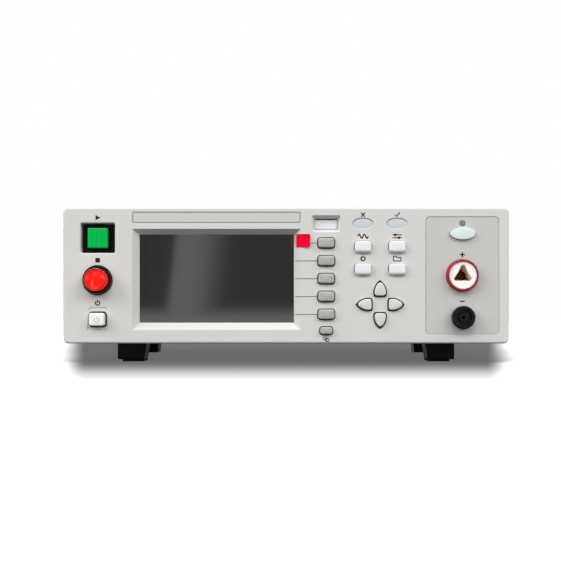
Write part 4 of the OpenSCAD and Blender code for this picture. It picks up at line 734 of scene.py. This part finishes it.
def stop_finish(middle):
    """Clear red cap: pale blots on it are painted reflections, its groove is painted shade, darker by half a
    millimetre to both sides of the groove's radius, and only its rim outside the groove is glossy."""
    material, shader, place = finish("red_plastic", Specular_IOR_Level=0.08, Coat_Roughness=0.08)
    flat = place.node("ShaderNodeVectorMath", {"operation": "MULTIPLY"}, {0: place, 1: (1, 0, 1)})
    axis = (middle[0] * mm, 0, middle[2] * mm)
    radius = place.node("ShaderNodeVectorMath", {"operation": "DISTANCE"}, {0: flat, 1: axis}, "Value") / mm
    # Painted reflections: pale blots on the face; painted shade: the darker red in the groove.
    painted_glints = place.noise(5, 1).step(0.48, 0.75)
    inner, outer = groove_r - 0.5, groove_r + 0.5
    groove_shade = radius.step(inner, inner + 0.25) * (1 - radius.step(outer - 0.25, outer))
    groove_shade.mix(painted_glints.mix(linear(stop_red), linear(glint_pale_red)), linear(groove_shade_red)).feeds(shader, "Base Color")
    (0.3 + painted_glints * 0.1).feeds(shader, "Roughness")
    radius.step(groove_r, groove_r + 0.4).feeds(shader, "Coat Weight")
    return material


red_plastic = stop_finish(stop_mid)
bezel_black = moulded("bezel_black", bezel_dark, 0.22, 0.6, 0.006, 0.1, Specular_IOR_Level=0.2)
bezel_ring = eased([(bezel_bore, neck_back), (neck_r, neck_back), (neck_r, 0), (bezel_r, 0),
                    (bezel_r, bezel_h), (bezel_bore + 0.4, bezel_h)], [0.2, 0.2, 0.1, 0.2, 1.1, 0.4], 5, True)
piece("stop_ring", [turned(bezel_ring, (bezel_mid[0], face_y, bezel_mid[2]), joined=True)], bezel_black,
      "black_plastic", "tester", "stop_bezel")
rim_h, groove_h = stop_h - 0.2, stop_h - 0.7
stop_line = eased([(stop_r, stop_back), (stop_r, 3), (stop_r - 0.4, rim_h), (groove_r + 0.4, rim_h),
                   (groove_r + 0.25, groove_h), (groove_r - 0.25, groove_h), (groove_r - 0.4, stop_h - 0.25),
                   (6, stop_h - 0.08), (0.4, stop_h)], [0.1, 0.5, 0.4, 0.1, 0.1, 0.1, 0.1, 1, 0.1])
piece("stop_cap", [turned(stop_line, (stop_mid[0], face_y, stop_mid[2]))], red_plastic, "red_plastic",
      "stop_button", "stop_button")

# Power button: a white cap with soft edges in a shallow dish of the panel, on the plunger of the mains
# switch. The switch's black collar shows round it, and a standby sign stands up from its face by a hair.
button_white = (231, 233, 224)
sign_tone = (176, 178, 172)
power_round, power_edge, power_crown, power_drop = 2, 1.3, 0.25, 0.35
collar_grows, collar_heights = (1.5, 1.5, 0.35, 0.35), (-1.3, -0.75, -0.75, -1.3)
sign_wide, sign_deep, sign_rise = 0.55, 0.3, 0.34
mark_low, mark_high = -0.04, 0.07


def stroke(path, width, at, low=mark_low, high=mark_high, joined=False):
    """Drawn line: a flat four-cornered section is carried along a path on the front, square to it, from low
    to high."""
    path = np.asarray(path, float)
    run = (np.roll(path, -1, 0) - np.roll(path, 1, 0)) if joined else np.gradient(path, axis=0)
    side = np.column_stack([-run[:, 1], run[:, 0]]) / np.linalg.norm(run, axis=1, keepdims=True) * width / 2
    edges = np.stack([path - side, path + side, path + side, path - side], 1)
    heights = np.broadcast_to(np.array([low, low, high, high])[None, :, None], edges.shape[:2] + (1,))
    return loft(stand(np.concatenate([edges, heights], 2), at), joined)


def patch(outline, at, low=mark_low, high=mark_high):
    """Filled shape: its outline from low to high, closed by a flat face."""
    outline = np.asarray(outline, float)
    return loft(stack([outline, outline], [low, high], at))


def arc(middle, radius, start, end, steps=25):
    """Part of a circle from one angle to another, in degrees."""
    angle = np.radians(np.linspace(start, end, steps))
    return np.column_stack([middle[0] + radius * np.cos(angle), middle[1] + radius * np.sin(angle)])


power_low, power_high, power_mid = measured("power_button")
power_w, power_t = power_high[0] - power_low[0], power_high[2] - power_low[2]
power_top = face_y - power_low[1] - power_drop
white_plastic = moulded("white_plastic", button_white, 0.35, 0.6, 0.008, 0.02, Coat_Weight=0.15)
power_at = (power_mid[0], face_y, power_mid[2])
power_sides = rounded_sides(face_y - power_high[1], power_top, power_edge)
power_cap = cap(inset_box(power_w, power_t, power_round, 0.5), power_sides, power_top, power_crown, power_at)
piece("power_cap", [power_cap], white_plastic, "white_plastic", "power_button", "power_button")
collar_rings = [rounded_box(power_w + 2 * grow, power_t + 2 * grow, power_round + grow)
                for grow in collar_grows]
collar = loft(stack(collar_rings, collar_heights, power_at), True)
piece("power_collar", [collar], black_plastic, "black_plastic", "tester")
sign_grey = moulded("sign_grey", sign_tone, 0.4, 0.6, 0.005)
sign_top = power_top + sign_rise
sign_lines = [arc((0, -0.3), 2.2, 125, 415), [(0, 0.2), (0, 2.6)]]
sign = [stroke(line, sign_wide, power_at, sign_top - sign_deep, sign_top) for line in sign_lines]
piece("power_sign", sign, sign_grey, "white_plastic", "power_button")

# Keys: grey keys beside the screen, white menu keys with a sloped lip below, and four pointed arrow keys,
# each with a flange behind the panel that holds it in and a stem on its switch. Where they face down their
# colour is painted shade, and behind the panel's face they are black, painted shade in the gaps round them.
# The soft keys carry a raised number.
key_flange = 1.2
flange_front, flange_back = -3.3, -4.8
stem_r = 2.5
key_round = 2.8
soft_clear, menu_clear, arrow_clear = 0.5, 0.15, 0.85
key_rise = 0.15
soft_grey, soft_shade_grey = (168, 168, 164), (126, 126, 122)
menu_white, menu_shade_beige = (224, 230, 232), (214, 206, 190)
arrow_grey, arrow_shade_grey = (205, 205, 202), (160, 160, 157)
gap_shade_black = (12, 12, 13)
lip_low, lip_drop = 1.8, 1.7
numeral_tall, numeral_wide, numeral_off = 3, 0.45, 4.2


def key_finish(name, colour, under):
    """Moulded key: a fine grain drifts in colour, the under colour is painted shade where the surface looks
    down, and from the panel's face back it is black, painted shade in the gap round the key."""
    material, shader, place = finish(name, Specular_IOR_Level=0.3)
    grain = place.noise(0.5, 2)
    tone = place.noise(40) * 0.7 + grain * 0.3
    # Painted shade: the under colour where the surface faces down, and black behind the panel's face in the
    # gaps.
    downward_shade = (place.node("ShaderNodeNewGeometry", {}, {}, "Normal").axis(2) * -mm).step(0.2, 0.7)
    cap_colour = downward_shade.mix(tone.mix(linear(colour, 0.97), linear(colour, 1.03)), linear(under))
    behind = place.axis(1).step(face_y - 0.2, face_y + 0.5)
    behind.mix(cap_colour, linear(gap_shade_black)).feeds(shader, "Base Color")
    (0.42 + (tone - 0.5) * 0.3).feeds(shader, "Roughness")
    grain.bump(0.01).feeds(shader, "Normal")
    return material


grey_key = key_finish("grey_key", soft_grey, soft_shade_grey)
white_key = key_finish("white_key", menu_white, menu_shade_beige)
pale_key = key_finish("pale_key", arrow_grey, arrow_shade_grey)


def numeral(number, tall):
    """Figure as drawn lines in a box of that height about the origin."""
    two_bow = np.vstack([arc((0, 0.22), 0.28, 165, -35, 12), [(-0.28, -0.5)]])
    three_bows = np.vstack([arc((-0.02, 0.25), 0.25, 150, -80, 12), arc((-0.02, -0.23), 0.27, 80, -150, 12)])
    five_bow = np.vstack([[(-0.25, 0.06)], arc((-0.02, -0.19), 0.3, 110, -145, 14)])
    lines = {1: [[(-0.18, 0.3), (0.02, 0.5), (0.02, -0.5)]],
             2: [two_bow, [(-0.28, -0.5), (0.3, -0.5)]],
             3: [three_bows],
             4: [[(0.12, -0.5), (0.12, 0.5), (-0.3, -0.22), (0.3, -0.22)]],
             5: [[(0.26, 0.5), (-0.22, 0.5), (-0.25, 0.06)], five_bow]}
    return [np.asarray(line, float) * tall for line in lines[number]]


def key(name, node, edge, crown, clear, material, slot, outline=None, marks=(), lip=0):
    """Key: stem, flange, sides and crowned top are rings of one skin that share their count of points. In
    front of the panel the lower halves of the rings drop by the lip, less and less towards the top."""
    low, high, mid = measured(node)
    width, tall = high[0] - low[0] - 2 * key_flange, high[2] - low[2] - 2 * key_flange
    at = (mid[0], face_y, mid[2] + key_rise)
    stem = oval(stem_r, stem_r) if outline else rounded_box(2 * stem_r, 2 * stem_r, stem_r)
    outline = outline or inset_box(width, tall, key_round, 0.4)
    top = face_y - low[1] - crown
    sides = rounded_sides(flange_front, top, edge, clear)
    sides[1:1] = [(clear, lip_low), (clear, lip_low + 0.01), (clear, lip_low + 0.2)]
    share = np.array([0.95, 0.85, 0.68, 0.48, 0.28, 0.1])
    last = outline(sides[-1][0])
    rings = [stem, stem, outline(-key_flange), outline(-key_flange)]
    for inset, height in sides:
        drop = lip * np.clip((top - height) / (top - lip_low - 0.2), 0, 1) * (height > lip_low)
        rings.append(outline(inset) - [0, drop] * (outline(inset)[:, 1:] < 0))
    heights = [face_y - high[1], flange_back, flange_back, flange_front] + [h for _, h in sides]
    rings += [last * s for s in share]
    heights += list(top + crown * (1 - share ** 2))
    piece(name, [loft(stack(rings, heights, at))] + list(marks), material, slot, node, node)


for number in range(1, 6):
    low, _, mid = measured(f"soft_key_{number}")
    mark_at = (mid[0] + numeral_off, low[1] + 0.16, mid[2])
    marks = [stroke(line, numeral_wide, mark_at, -0.2, 0.25 - 0.01 * i)
             for i, line in enumerate(numeral(number, numeral_tall))]
    key(f"soft_cap_{number}", f"soft_key_{number}", 1.1, 0.35, soft_clear, grey_key, "grey_key", marks=marks)
key("copy_cap", "copy_key", 1.0, 0.3, soft_clear, grey_key, "grey_key")
for number in range(1, 5):
    key(f"menu_cap_{number}", f"menu_key_{number}", 0.8, 0.15, menu_clear, white_key, "white_key",
        lip=lip_drop)

arrow_turns = {"arrow_up": 0, "arrow_left": 90, "arrow_down": 180, "arrow_right": 270}
arrow_low, arrow_high, _ = measured("arrow_up")
arrow_l = arrow_high[2] - arrow_low[2] - 2 * key_flange
arrow_w = arrow_high[0] - arrow_low[0] - 2 * key_flange
arrow_shoulder = 3.8


def arrow_outline(turn):
    """Pointed arch: from a point inside, the radius at each angle is the smooth least of the distances to two
    side circles, which meet in the point, and to the straight base; then the whole outline is turned."""
    rise = arrow_l - arrow_shoulder
    circle = (rise ** 2 + (arrow_w / 2) ** 2) / arrow_w

    def outline(inset):
        angle = np.linspace(0, 2 * math.pi, 64, endpoint=False)
        way = np.column_stack([np.cos(angle), np.sin(angle)])
        inner = np.array([0, arrow_l * 0.36])
        reach = []
        for side in (-1, 1):
            middle = np.array([side * (circle - arrow_w / 2), arrow_shoulder])
            along = way @ (inner - middle)
            reach.append(-along + np.sqrt(along ** 2 - ((inner - middle) ** 2).sum() + (circle - inset) ** 2))
        reach.append((inner[1] - inset) / np.maximum(-way[:, 1], 1e-3))
        radius = (np.array(reach) ** -6).sum(0) ** (-1 / 6)
        flat = way * radius[:, None] + inner - [0, arrow_l / 2]
        a = math.radians(turn)
        return flat @ np.array([[math.cos(a), math.sin(a)], [-math.sin(a), math.cos(a)]])
    return outline


for node, turn in arrow_turns.items():
    key(node.replace("arrow", "arrow_cap"), node, 1.0, 0.3, arrow_clear, pale_key, "pale_key",
        arrow_outline(turn))

# Lamps: oval lenses of milky plastic in the panel, two flush ones over the keys and a large one that stands
# out over the high-voltage socket. Ribs moulded across them spread the light of the diodes behind.
lamp_blue = (192, 202, 206)
lamp_white = (213, 223, 224)
lamp_rib = 1.3
lamp_flange = 1


def lamp(name, node, dome, rib_depth, material):
    """Lens: rings of an oval shrink to its middle while the height follows a dome, one less the square of the
    ring's share, and a wave across X adds ribs that fade out at the rim."""
    low, high, mid = measured(node)
    half = (high - low) / 2 - lamp_flange
    top = face_y - low[1]
    share = np.concatenate([[1, 1, 0.995, 0.98], np.linspace(0.95, 0.03, 26)])
    outline = share[:, None, None] * oval(half[0] - 0.02, half[2] - 0.02, 120)
    height = top - dome + dome * (1 - share ** 2)
    height[:3] = [face_y - high[1], top - dome - 0.5, top - dome - 0.15]
    fade = np.clip((0.97 - share) / 0.1, 0, 1)[:, None]
    ribs = rib_depth * np.cos(2 * math.pi * outline[..., 0] / lamp_rib) * fade
    skin = np.concatenate([outline, (height[:, None] - rib_depth + ribs)[..., None]], 2)
    piece(name, [loft(stand(skin, (mid[0], face_y, mid[2])))], material, "lamp_lens", "tester", node)


lamp_lens = moulded("lamp_lens", lamp_blue, 0.3, 1.2, 0.01, 0.03, Coat_Weight=0.2)
hv_lens = moulded("hv_lens", lamp_white, 0.3, 1.2, 0.01, 0.03, Coat_Weight=0.25)
lamp("fail_lens", "fail_lamp", 0.25, 0.05, lamp_lens)
lamp("pass_lens", "pass_lamp", 0.25, 0.05, lamp_lens)
lamp("hv_lens_cap", "hv_lamp", 0.6, 0.06, hv_lens)

# High-voltage socket: a white moulded insulator with a three-lobed hole, a red ring round it that marks the
# live terminal, and a brass contact deep in the hole.
ring_red = (160, 18, 30)
insulator_white = (244, 244, 242)
hole_pink, hole_ochre, hole_shade_brown = (244, 206, 192), (228, 204, 156), (70, 40, 16)
aged_brown = (96, 62, 30)
ring_wall, ring_slope = 2.2, 1.7
contact_wall, contact_deep = 1.4, 6
nose_r, nose_back = 13.5, -8
hole_lobe, lobe_out, hole_bore = 2.3, 7.3, 5.2
deep_bore, bore_start, hole_taper = 4.8, -9, -2


def lobed(grow, around=72):
    """Bore with three lobes: near a lobe's middle the radius reaches its circle, and elsewhere the straight
    side that touches the circles of lobe and bore."""
    angle = np.linspace(0, 2 * math.pi, around, endpoint=False)
    lobe = hole_lobe + grow
    off = (angle - math.pi / 2 + math.pi / 3) % (2 * math.pi / 3) - math.pi / 3
    lean = math.acos((hole_bore - hole_lobe) / lobe_out)
    side = (hole_bore + grow) / np.cos(lean - np.abs(off))
    near = lobe_out * np.cos(off)
    corner = near + np.sqrt(np.maximum(near ** 2 - lobe_out ** 2 + lobe ** 2, 0))
    touch = math.atan2(lobe * math.sin(lean), lobe_out + lobe * math.cos(lean))
    radius = np.where(np.abs(off) < touch, corner, side)
    return np.column_stack([radius * np.cos(angle), radius * np.sin(angle)])


hv_low, hv_high, hv_mid = measured("hv_ring")
contact_low, contact_high, _ = measured("hv_contact")
hv_at = (hv_mid[0], face_y, hv_mid[2])
ring_top = face_y - hv_low[1]
ring_r = (hv_high[0] - hv_low[0]) / 2
plate_top = face_y - hv_high[1]
nose_top = face_y - measured("hv_insulator")[0][1]
cavity = face_y - contact_high[1]
ring_plastic = moulded("ring_plastic", ring_red, 0.28, 0.7, 0.006, 0.04, Specular_IOR_Level=0.2)
ring_bore = ring_r - ring_wall
ring_line = eased([(ring_bore, plate_top), (ring_r, plate_top), (ring_r, plate_top + 0.8),
                   (ring_r - ring_slope, ring_top), (ring_bore, ring_top)],
                  [0.1, 0.2, 0.4, 0.35, 0.15], 5, True)
piece("live_ring", [turned(ring_line, hv_at, joined=True)], ring_plastic, "red_plastic", "tester", "hv_ring")
outer = eased([(nose_r, nose_back), (nose_r, nose_top), (nose_r - 2.6, nose_top)], 1)
mouth = {1: 0, 0.45: 0.12, 0.12: 0.5, 0: 1.1}
bore_ring = lobed(hole_taper)
bore_ring = bore_ring * np.maximum(deep_bore / np.linalg.norm(bore_ring, axis=1, keepdims=True), 1)
nose_rings = [*(outer[:, :1, None] * oval(1, 1, 72)), *(lobed(grow) for grow in mouth), bore_ring, bore_ring]
nose_heights = [*outer[:, 1], *(nose_top - depth for depth in mouth.values()), bore_start, cavity]


def insulator_finish():
    """White moulding whose hole narrows: it turns pink and ochre with the depth behind its mouth, then brown,
    which is painted shade deep in the hole.
    """
    material, shader, place = finish("insulator", Specular_IOR_Level=0.15)
    depth, cloud = place.axis(1) - face_y, place.noise(3)
    lining = (depth + cloud * 2).step(0, 8).mix(linear(hole_pink), linear(hole_ochre))
    # Painted shade: the lining turns brown deep in the hole.
    lining = (depth + cloud * 2).step(11, 16).mix(lining, linear(hole_shade_brown))
    (depth + cloud).step(-4, -1).mix(linear(insulator_white), lining).feeds(shader, "Base Color")
    (0.3 + cloud * 0.2).feeds(shader, "Roughness")
    return material


nose = loft(stack(nose_rings, nose_heights, hv_at), True)
piece("insulator_nose", [nose], insulator_finish(), "white_plastic", "tester", "hv_insulator")
contact_r = (contact_high[0] - contact_low[0]) / 2
contact_top = face_y - contact_low[1]
contact_bore = contact_r - contact_wall
contact_line = eased([(contact_r, cavity), (contact_r, contact_top), (contact_bore, contact_top),
                      (contact_bore, contact_top - contact_deep)], 0.5)
aged_brass = metal("aged_brass", aged_brown, 0.5, 2)
piece("live_contact", [turned(contact_line, hv_at)], aged_brass, "brass", "tester", "hv_contact")

# Return jack: a black safety jack with a deep groove round its insulated post, held by a nut behind the
# panel, and a plated sleeve inside the post, whose plating is darkened as painted shade.
jack_dark, shaded_nickel_grey = (7, 8, 10), (74, 71, 66)
jack_bore, post_bore = 3.3, 2.3
jack_neck, jack_back = 7, -20
groove, groove_deep, post_sunk = (4.5, 7.6), 5, 1.5
jack_low, jack_high, jack_mid = measured("return_jack")
jack_at = (jack_mid[0], face_y, jack_mid[2])
jack_top = face_y - jack_low[1]
jack_r = (jack_high[0] - jack_low[0]) / 2
groove_floor = jack_top - groove_deep
post_top = jack_top - post_sunk
jack_line = eased([(jack_bore, jack_back), (jack_neck, jack_back), (jack_neck, plate_top),
                   (jack_r, plate_top), (jack_r, jack_top), (groove[1], jack_top), (groove[1], groove_floor),
                   (groove[0], groove_floor), (groove[0], post_top), (post_bore, post_top),
                   (post_bore, post_top - 1), (jack_bore, post_top - 1)],
                  [0.2, 0.2, 0.1, 0.3, 1.3, 0.9, 0.4, 0.4, 0.6, 0.3, 0.1, 0.1], 5, True)
jack_black = moulded("jack_black", jack_dark, 0.1, 0.6, 0.003, 0.1, Specular_IOR_Level=0.12)
piece("jack_body", [turned(jack_line, jack_at, joined=True)], jack_black, "black_plastic", "tester",
      "return_jack")
# Painted shade: the sleeve's nickel is made dark, as it is seen in the shade of the post.
shaded_nickel = metal("shaded_nickel", shaded_nickel_grey, 0.45, 2)
dress(shaded_nickel, "return_sleeve")

# Socket flap: a pale moulded flap that closes the small socket, on two pins at its lower edge.
# It lies at the bottom of a sloped recess, and the gap over its top edge takes a fingernail.
flap_white = (217, 223, 227)
flap_edge = 0.3
flap_plastic = moulded("flap_plastic", flap_white, 0.4, 0.5, 0.01, 0.02)
eased_copy("socket_flap", "usb_flap", flap_edge, flap_plastic, "usb_flap")

# Printed marks: plain signs in dark ink beside the controls, and grey lines that lead from the screen to the
# soft keys. The ink is screen printed, so it stands a few hundredths of a millimetre on the panel.
ink_dark = (20, 20, 22)
grey_of_ink_and_shade = (112, 112, 110)
mark_wide, shade_line_wide, lead_wide = 1.1, 0.45, 0.8
shade_line_inset = 0.5


def ink_finish(name, colour):
    """Screen ink: pinholes and a dull, slightly uneven film."""
    material, shader, place = finish(name, Specular_IOR_Level=0.15)
    holes = place.noise(0.4, 4).step(0.2, 0.34)
    holes.mix(linear(colour, 1.5), linear(colour)).feeds(shader, "Base Color")
    (0.5 + place.noise(3) * 0.2).feeds(shader, "Roughness")
    return material


def beside(node, lift):
    """Place on the panel's face in line with a node, that far above its middle."""
    mid = measured(node)[2]
    return (mid[0], face_y, mid[2] + lift)


def drawn(lines, at, width=mark_wide, low=mark_low, high=mark_high):
    """Several lines of one sign that may cross, each a hundredth of a millimetre higher than the last."""
    return [stroke(line, width, at, low, high + 0.01 * i) for i, line in enumerate(lines)]


start_at, stop_at = beside("start_button", 19.6), beside("stop_button", 19.1)
power_sign_at = beside("power_button", 16.1)
fail_at, pass_at = beside("fail_lamp", 8.2), beside("pass_lamp", 8.2)
wave_at, sliders_at = beside("menu_key_1", 9.6), beside("menu_key_2", 9.6)
gear_at, folder_at = beside("menu_key_3", 9.5), beside("menu_key_4", 9.5)
lamp_at, live_at, low_at = beside("hv_lamp", 9.8), beside("hv_ring", 20), beside("return_jack", 15.6)
copy_at = beside("copy_key", -8.2)
run = np.linspace(-5, 5, 41)
sunk = {"low": plate_top + mark_low, "high": plate_top + mark_high}
slider_knobs = [rounded_box(2.2, 2.2, 0.4) + spot for spot in ([1.8, -1.4], [-1.8, 1.4])]
folder = eased([(-3.6, -2.1), (3.6, -2.1), (3.6, 1.3), (-0.2, 1.3), (-1.2, 2.4), (-3.6, 2.4)], 0.25, 3, True)
sheet = rounded_box(3, 2.6, 0.3, 4)
lamp_cross = [[(-1.6, -1.6), (1.6, 1.6)], [(-1.6, 1.6), (1.6, -1.6)]]
gear_way = np.radians(np.arange(8) * 45)[:, None]
gear_teeth = np.stack([np.concatenate([np.cos(gear_way), np.sin(gear_way)], 1) * r for r in (1.7, 3)], 1)
marks = [patch([(-2, -2.5), (2.6, 0), (-2, 2.5)], start_at), patch(rounded_box(4.4, 4.4, 0.3), stop_at)]
marks += drawn([arc((0, -0.3), 2.1, 125, 415), [(0, 0.1), (0, 2.6)]], power_sign_at)
marks += drawn([[(-1.9, -2), (1.9, 2)], [(-1.9, 2), (1.9, -2)]], fail_at)
marks += drawn([[(-2.4, 0.2), (-0.8, -1.8), (2.6, 2.2)]], pass_at)
marks += drawn([np.column_stack([run, 1.9 * np.sin(2 * math.pi * run / 5)])], wave_at)
marks += drawn([[(-4.4, v), (4.4, v)] for v in (-1.4, 1.4)], sliders_at, 0.9)
marks += [patch(knob, sliders_at, high=0.09) for knob in slider_knobs]
marks += [stroke(arc((0, 0), 1.6, 0, 352, 45), 0.8, gear_at, joined=True)]
marks += drawn(gear_teeth, gear_at, 0.9, high=0.08)
marks += [stroke(folder, 0.9, folder_at, joined=True)]
marks += [stroke(sheet + [side, -0.7 * side], 0.7, copy_at, high=mark_high + 0.01 * side, joined=True)
          for side in (-1, 1)]
marks += [stroke(arc((0, 0), 2.4, 0, 352, 45), 0.8, lamp_at, joined=True, **sunk)]
marks += drawn(lamp_cross, lamp_at, 0.7, plate_top + mark_low, plate_top + 0.08)
marks += drawn([[(-2.4, 0), (2.4, 0)], [(0, -2.4), (0, 2.4)]], live_at, 1.2, **sunk)
marks += drawn([[(-2.4, 0), (2.4, 0)]], low_at, 1.2, **sunk)
dark_ink = ink_finish("dark_ink", ink_dark)
# The grey ink draws the printed leads and also the painted shade line inside the nameplate's edge.
grey_ink_and_painted_shade = ink_finish("grey_ink_and_painted_shade", grey_of_ink_and_shade)
piece("printed_signs", marks, dark_ink, "black_plastic", "tester")
# Painted shade: a grey line inside the nameplate's edge stands for the shade of the gap round its pocket.
plate_low, plate_high, plate_mid = measured("nameplate")
plate_w, _, plate_t = plate_high - plate_low - 2 * shade_line_inset
shade_line = rounded_box(plate_w, plate_t, 0.5, 4)
shade_line_at = (plate_mid[0], plate_low[1], plate_mid[2])
piece("plate_shade_line", [stroke(shade_line, shade_line_wide, shade_line_at, joined=True)], grey_ink_and_painted_shade, "grey_key", "tester")

window_right, frame_right = (7.7, glass_y), (14.0, face_y)
leads = []
for number in range(1, 6):
    low, _, mid = measured(f"soft_key_{number}")
    line = np.linspace(window_right, frame_right, 6)[1:] if number > 1 else np.array([frame_right])
    line = np.vstack([line, np.linspace(frame_right, (low[0] + key_flange - 0.4, face_y), 6)[1:]])
    leads.append(strip(line + [0.02, 0.03], mid[2], lead_wide, 0.1))
piece("screen_leads", leads, grey_ink_and_painted_shade, "grey_key", "tester")

# Screws: pan-head screws of zinc-plated steel hold the cover's sides, the front and rear panels, the fan and
# the feet. Each head is a low dome with a cross recess pressed into it.
head_r, head_h, head_side = 4, 2.2, 0.45
shank_r, shank_l = 2, 6
recess_half, recess_reach, recess_deep = 0.62, 2.2, 1.1
side_x, side_z = measured("top_cover")[1][0], measured("bottom_chassis")[2][2]
side_ys = (-99, 7, 113)
front_y, front_xs = -157.5, (-204, -67.1, 204)
rear_xs, edge_zs = (-197.7, 0, 197.7), (27.5, 140.5)
sole_z, sole_spots = 17.5, ((154, -130), (172, 126))


def screw(at, out, up=(0, 0, 1)):
    """Pan-head screw: rings rise from the shank's end to the head, out to its edge and over a dome, and the
    height drops inside a cross that fades at its ends."""
    share = np.concatenate([[shank_r / head_r, shank_r / head_r, 1, 1], np.linspace(0.97, 0.04, 16)])
    flat = share[:, None, None] * oval(head_r, head_r, 56)
    height = head_h * (head_side + (1 - head_side) * np.sqrt(np.maximum(1 - share ** 2, 0)))
    height[:4] = [-shank_l, 0, 0, head_side * head_h]
    near, far = np.abs(flat).min(2), np.abs(flat).max(2)
    cross = np.clip((recess_half - near) / 0.2, 0, 1) * np.clip((recess_reach - far) / 0.3, 0, 1)
    cross[:4] = 0
    skin = np.concatenate([flat, (height[:, None] - recess_deep * cross)[..., None]], 2)
    return loft(stand(skin, at, out, up))


screws = [screw((side * side_x, y, side_z), (side, 0, 0)) for side in (-1, 1) for y in side_ys]
screws += [screw((x, front_y, z), (0, 1, 0)) for x in front_xs for z in edge_zs]
screws += [screw((x, rear_y, z), (0, 1, 0)) for x in rear_xs for z in edge_zs]
screws += [screw((corner[0], guard_high[1], corner[2]), (0, 1, 0)) for corner in guard_corners]
screws += [screw((side * x, y, sole_z), (0, 0, -1), (0, 1, 0)) for side in (-1, 1) for x, y in sole_spots]
piece("pan_screws", screws, zinc_plate, "steel", "tester", "case_screws")

# Studio: a wide white floor in a dim white room, one broad soft light from high in front, one from each side
# and a low one from behind. The floor's paper carries a painted shadow: it is grey round the tester and fades
# to white, and it throws little light back up.
room_fill = 0.48
floor_white, floor_shadow_grey = 1.0, 0.02
floor_glow = 0.142
floor_bounce = 0.13
shadow_side = (0.193, 0.224)
shadow_tip = -1175
shadow_front = (-640, -170)
shadow_back = (540, 700)
soft_lights = {"front_light": (1.12, 48, 6, 26),
               "left_light": (2.05, 33, 66, 40),
               "right_light": (1.5, 33, -48, 40),
               "rear_light": (1.5, 6, 170, 40)}

floor_mesh = bpy.data.meshes.new("studio_floor")
floor_mesh.from_pydata([(-9, -9, 0), (9, -9, 0), (9, 9, 0), (-9, 9, 0)], [], [(0, 1, 2, 3)])
floor = bpy.data.objects.new("studio_floor", floor_mesh)
bpy.context.scene.collection.objects.link(floor)
floor_paper, floor_shader, floor_place = finish("floor_paper", Roughness=0.9, Specular_IOR_Level=0,
                                                Emission_Strength=1)


def grey(level):
    """Even grey of that level of linear light."""
    return [level, level, level, 1]


def seen(wire):
    """1 on rays from the lens, from a reflection or through glass, and 0 on scattered light."""
    rays = [wire.node("ShaderNodeLightPath", {}, {}, ray)
            for ray in ("Is Camera Ray", "Is Glossy Ray", "Is Transmission Ray")]
    return wire.math("MAXIMUM", wire.math("MAXIMUM", rays[0], rays[1]), rays[2])


# Painted shadow: the paper is grey in a wedge round the tester that fades out to the sides, in front and
# behind; the floor's faint glow on rays from the lens sets how grey it looks.
behind = floor_place.axis(1)
aside = floor_place.math("ABSOLUTE", floor_place.axis(0)) / (behind - shadow_tip)
painted_shadow = (1 - aside.step(*shadow_side)) * behind.step(*shadow_front) * (1 - behind.step(*shadow_back))
paper = painted_shadow.mix(grey(floor_white), grey(floor_shadow_grey))
seen(floor_place).mix(grey(floor_bounce), paper).feeds(floor_shader, "Base Color")
seen(floor_place).mix(grey(0), grey(floor_glow)).feeds(floor_shader, "Emission Color")
floor_mesh.materials.append(floor_paper)

world = bpy.data.worlds.new("room")
world.use_nodes = True
bpy.context.scene.world = world
backdrop = world.node_tree.nodes["Background"]
backdrop.inputs["Color"].default_value = (1, 1, 1, 1)
room = Wire(world.node_tree.nodes.new("ShaderNodeTexCoord").outputs["Generated"])
(room_fill + seen(room) * (1 - room_fill)).feeds(backdrop, "Strength")

for name, (strength, high, left, spread) in soft_lights.items():
    light = bpy.data.objects.new(name, bpy.data.lights.new(name, "SUN"))
    light.data.energy = strength
    light.data.angle = math.radians(spread)
    light.rotation_euler = (math.radians(90 - high), 0, math.radians(-left))
    bpy.context.scene.collection.objects.link(light)

# Card behind the camera: a grey board that only reflections see, so the glass shows a dark room with one pale
# upright band and a lighter strip low down.
card_y = -1.45
card_left, card_right, card_top = -0.36, 0.06, 0.26
card_dark, card_pale = 0.6, 2.8
band_lean, band_mid, band_level = 0.12, 120, 0.84
band_start, band_end = (-262, -246), (-215, -120)
strip_end = (34, 74)
card_mesh = bpy.data.meshes.new("grey_card")
card_corners = [(card_left, card_y, 0), (card_right, card_y, 0),
                (card_right, card_y, card_top), (card_left, card_y, card_top)]
card_mesh.from_pydata(card_corners, [], [(0, 1, 2, 3)])
card = bpy.data.objects.new("grey_card", card_mesh)
bpy.context.scene.collection.objects.link(card)
card.visible_camera = card.visible_diffuse = card.visible_shadow = card.visible_transmission = False
card_board, card_shader, card_place = finish("grey_board", Base_Color=(0, 0, 0, 1), Emission_Strength=1,
                                             Specular_IOR_Level=0)
rise = card_place.axis(2)
lean = card_place.axis(0) - (rise - band_mid) * band_lean
band = lean.step(*band_start) * (1 - lean.step(*band_end))
pale = card_place.math("MAXIMUM", band * band_level, 1 - rise.step(*strip_end))
pale.mix(grey(card_dark), grey(card_pale)).feeds(card_shader, "Emission Color")
card_mesh.materials.append(card_board)

bpy.context.scene.view_settings.view_transform = "Standard"
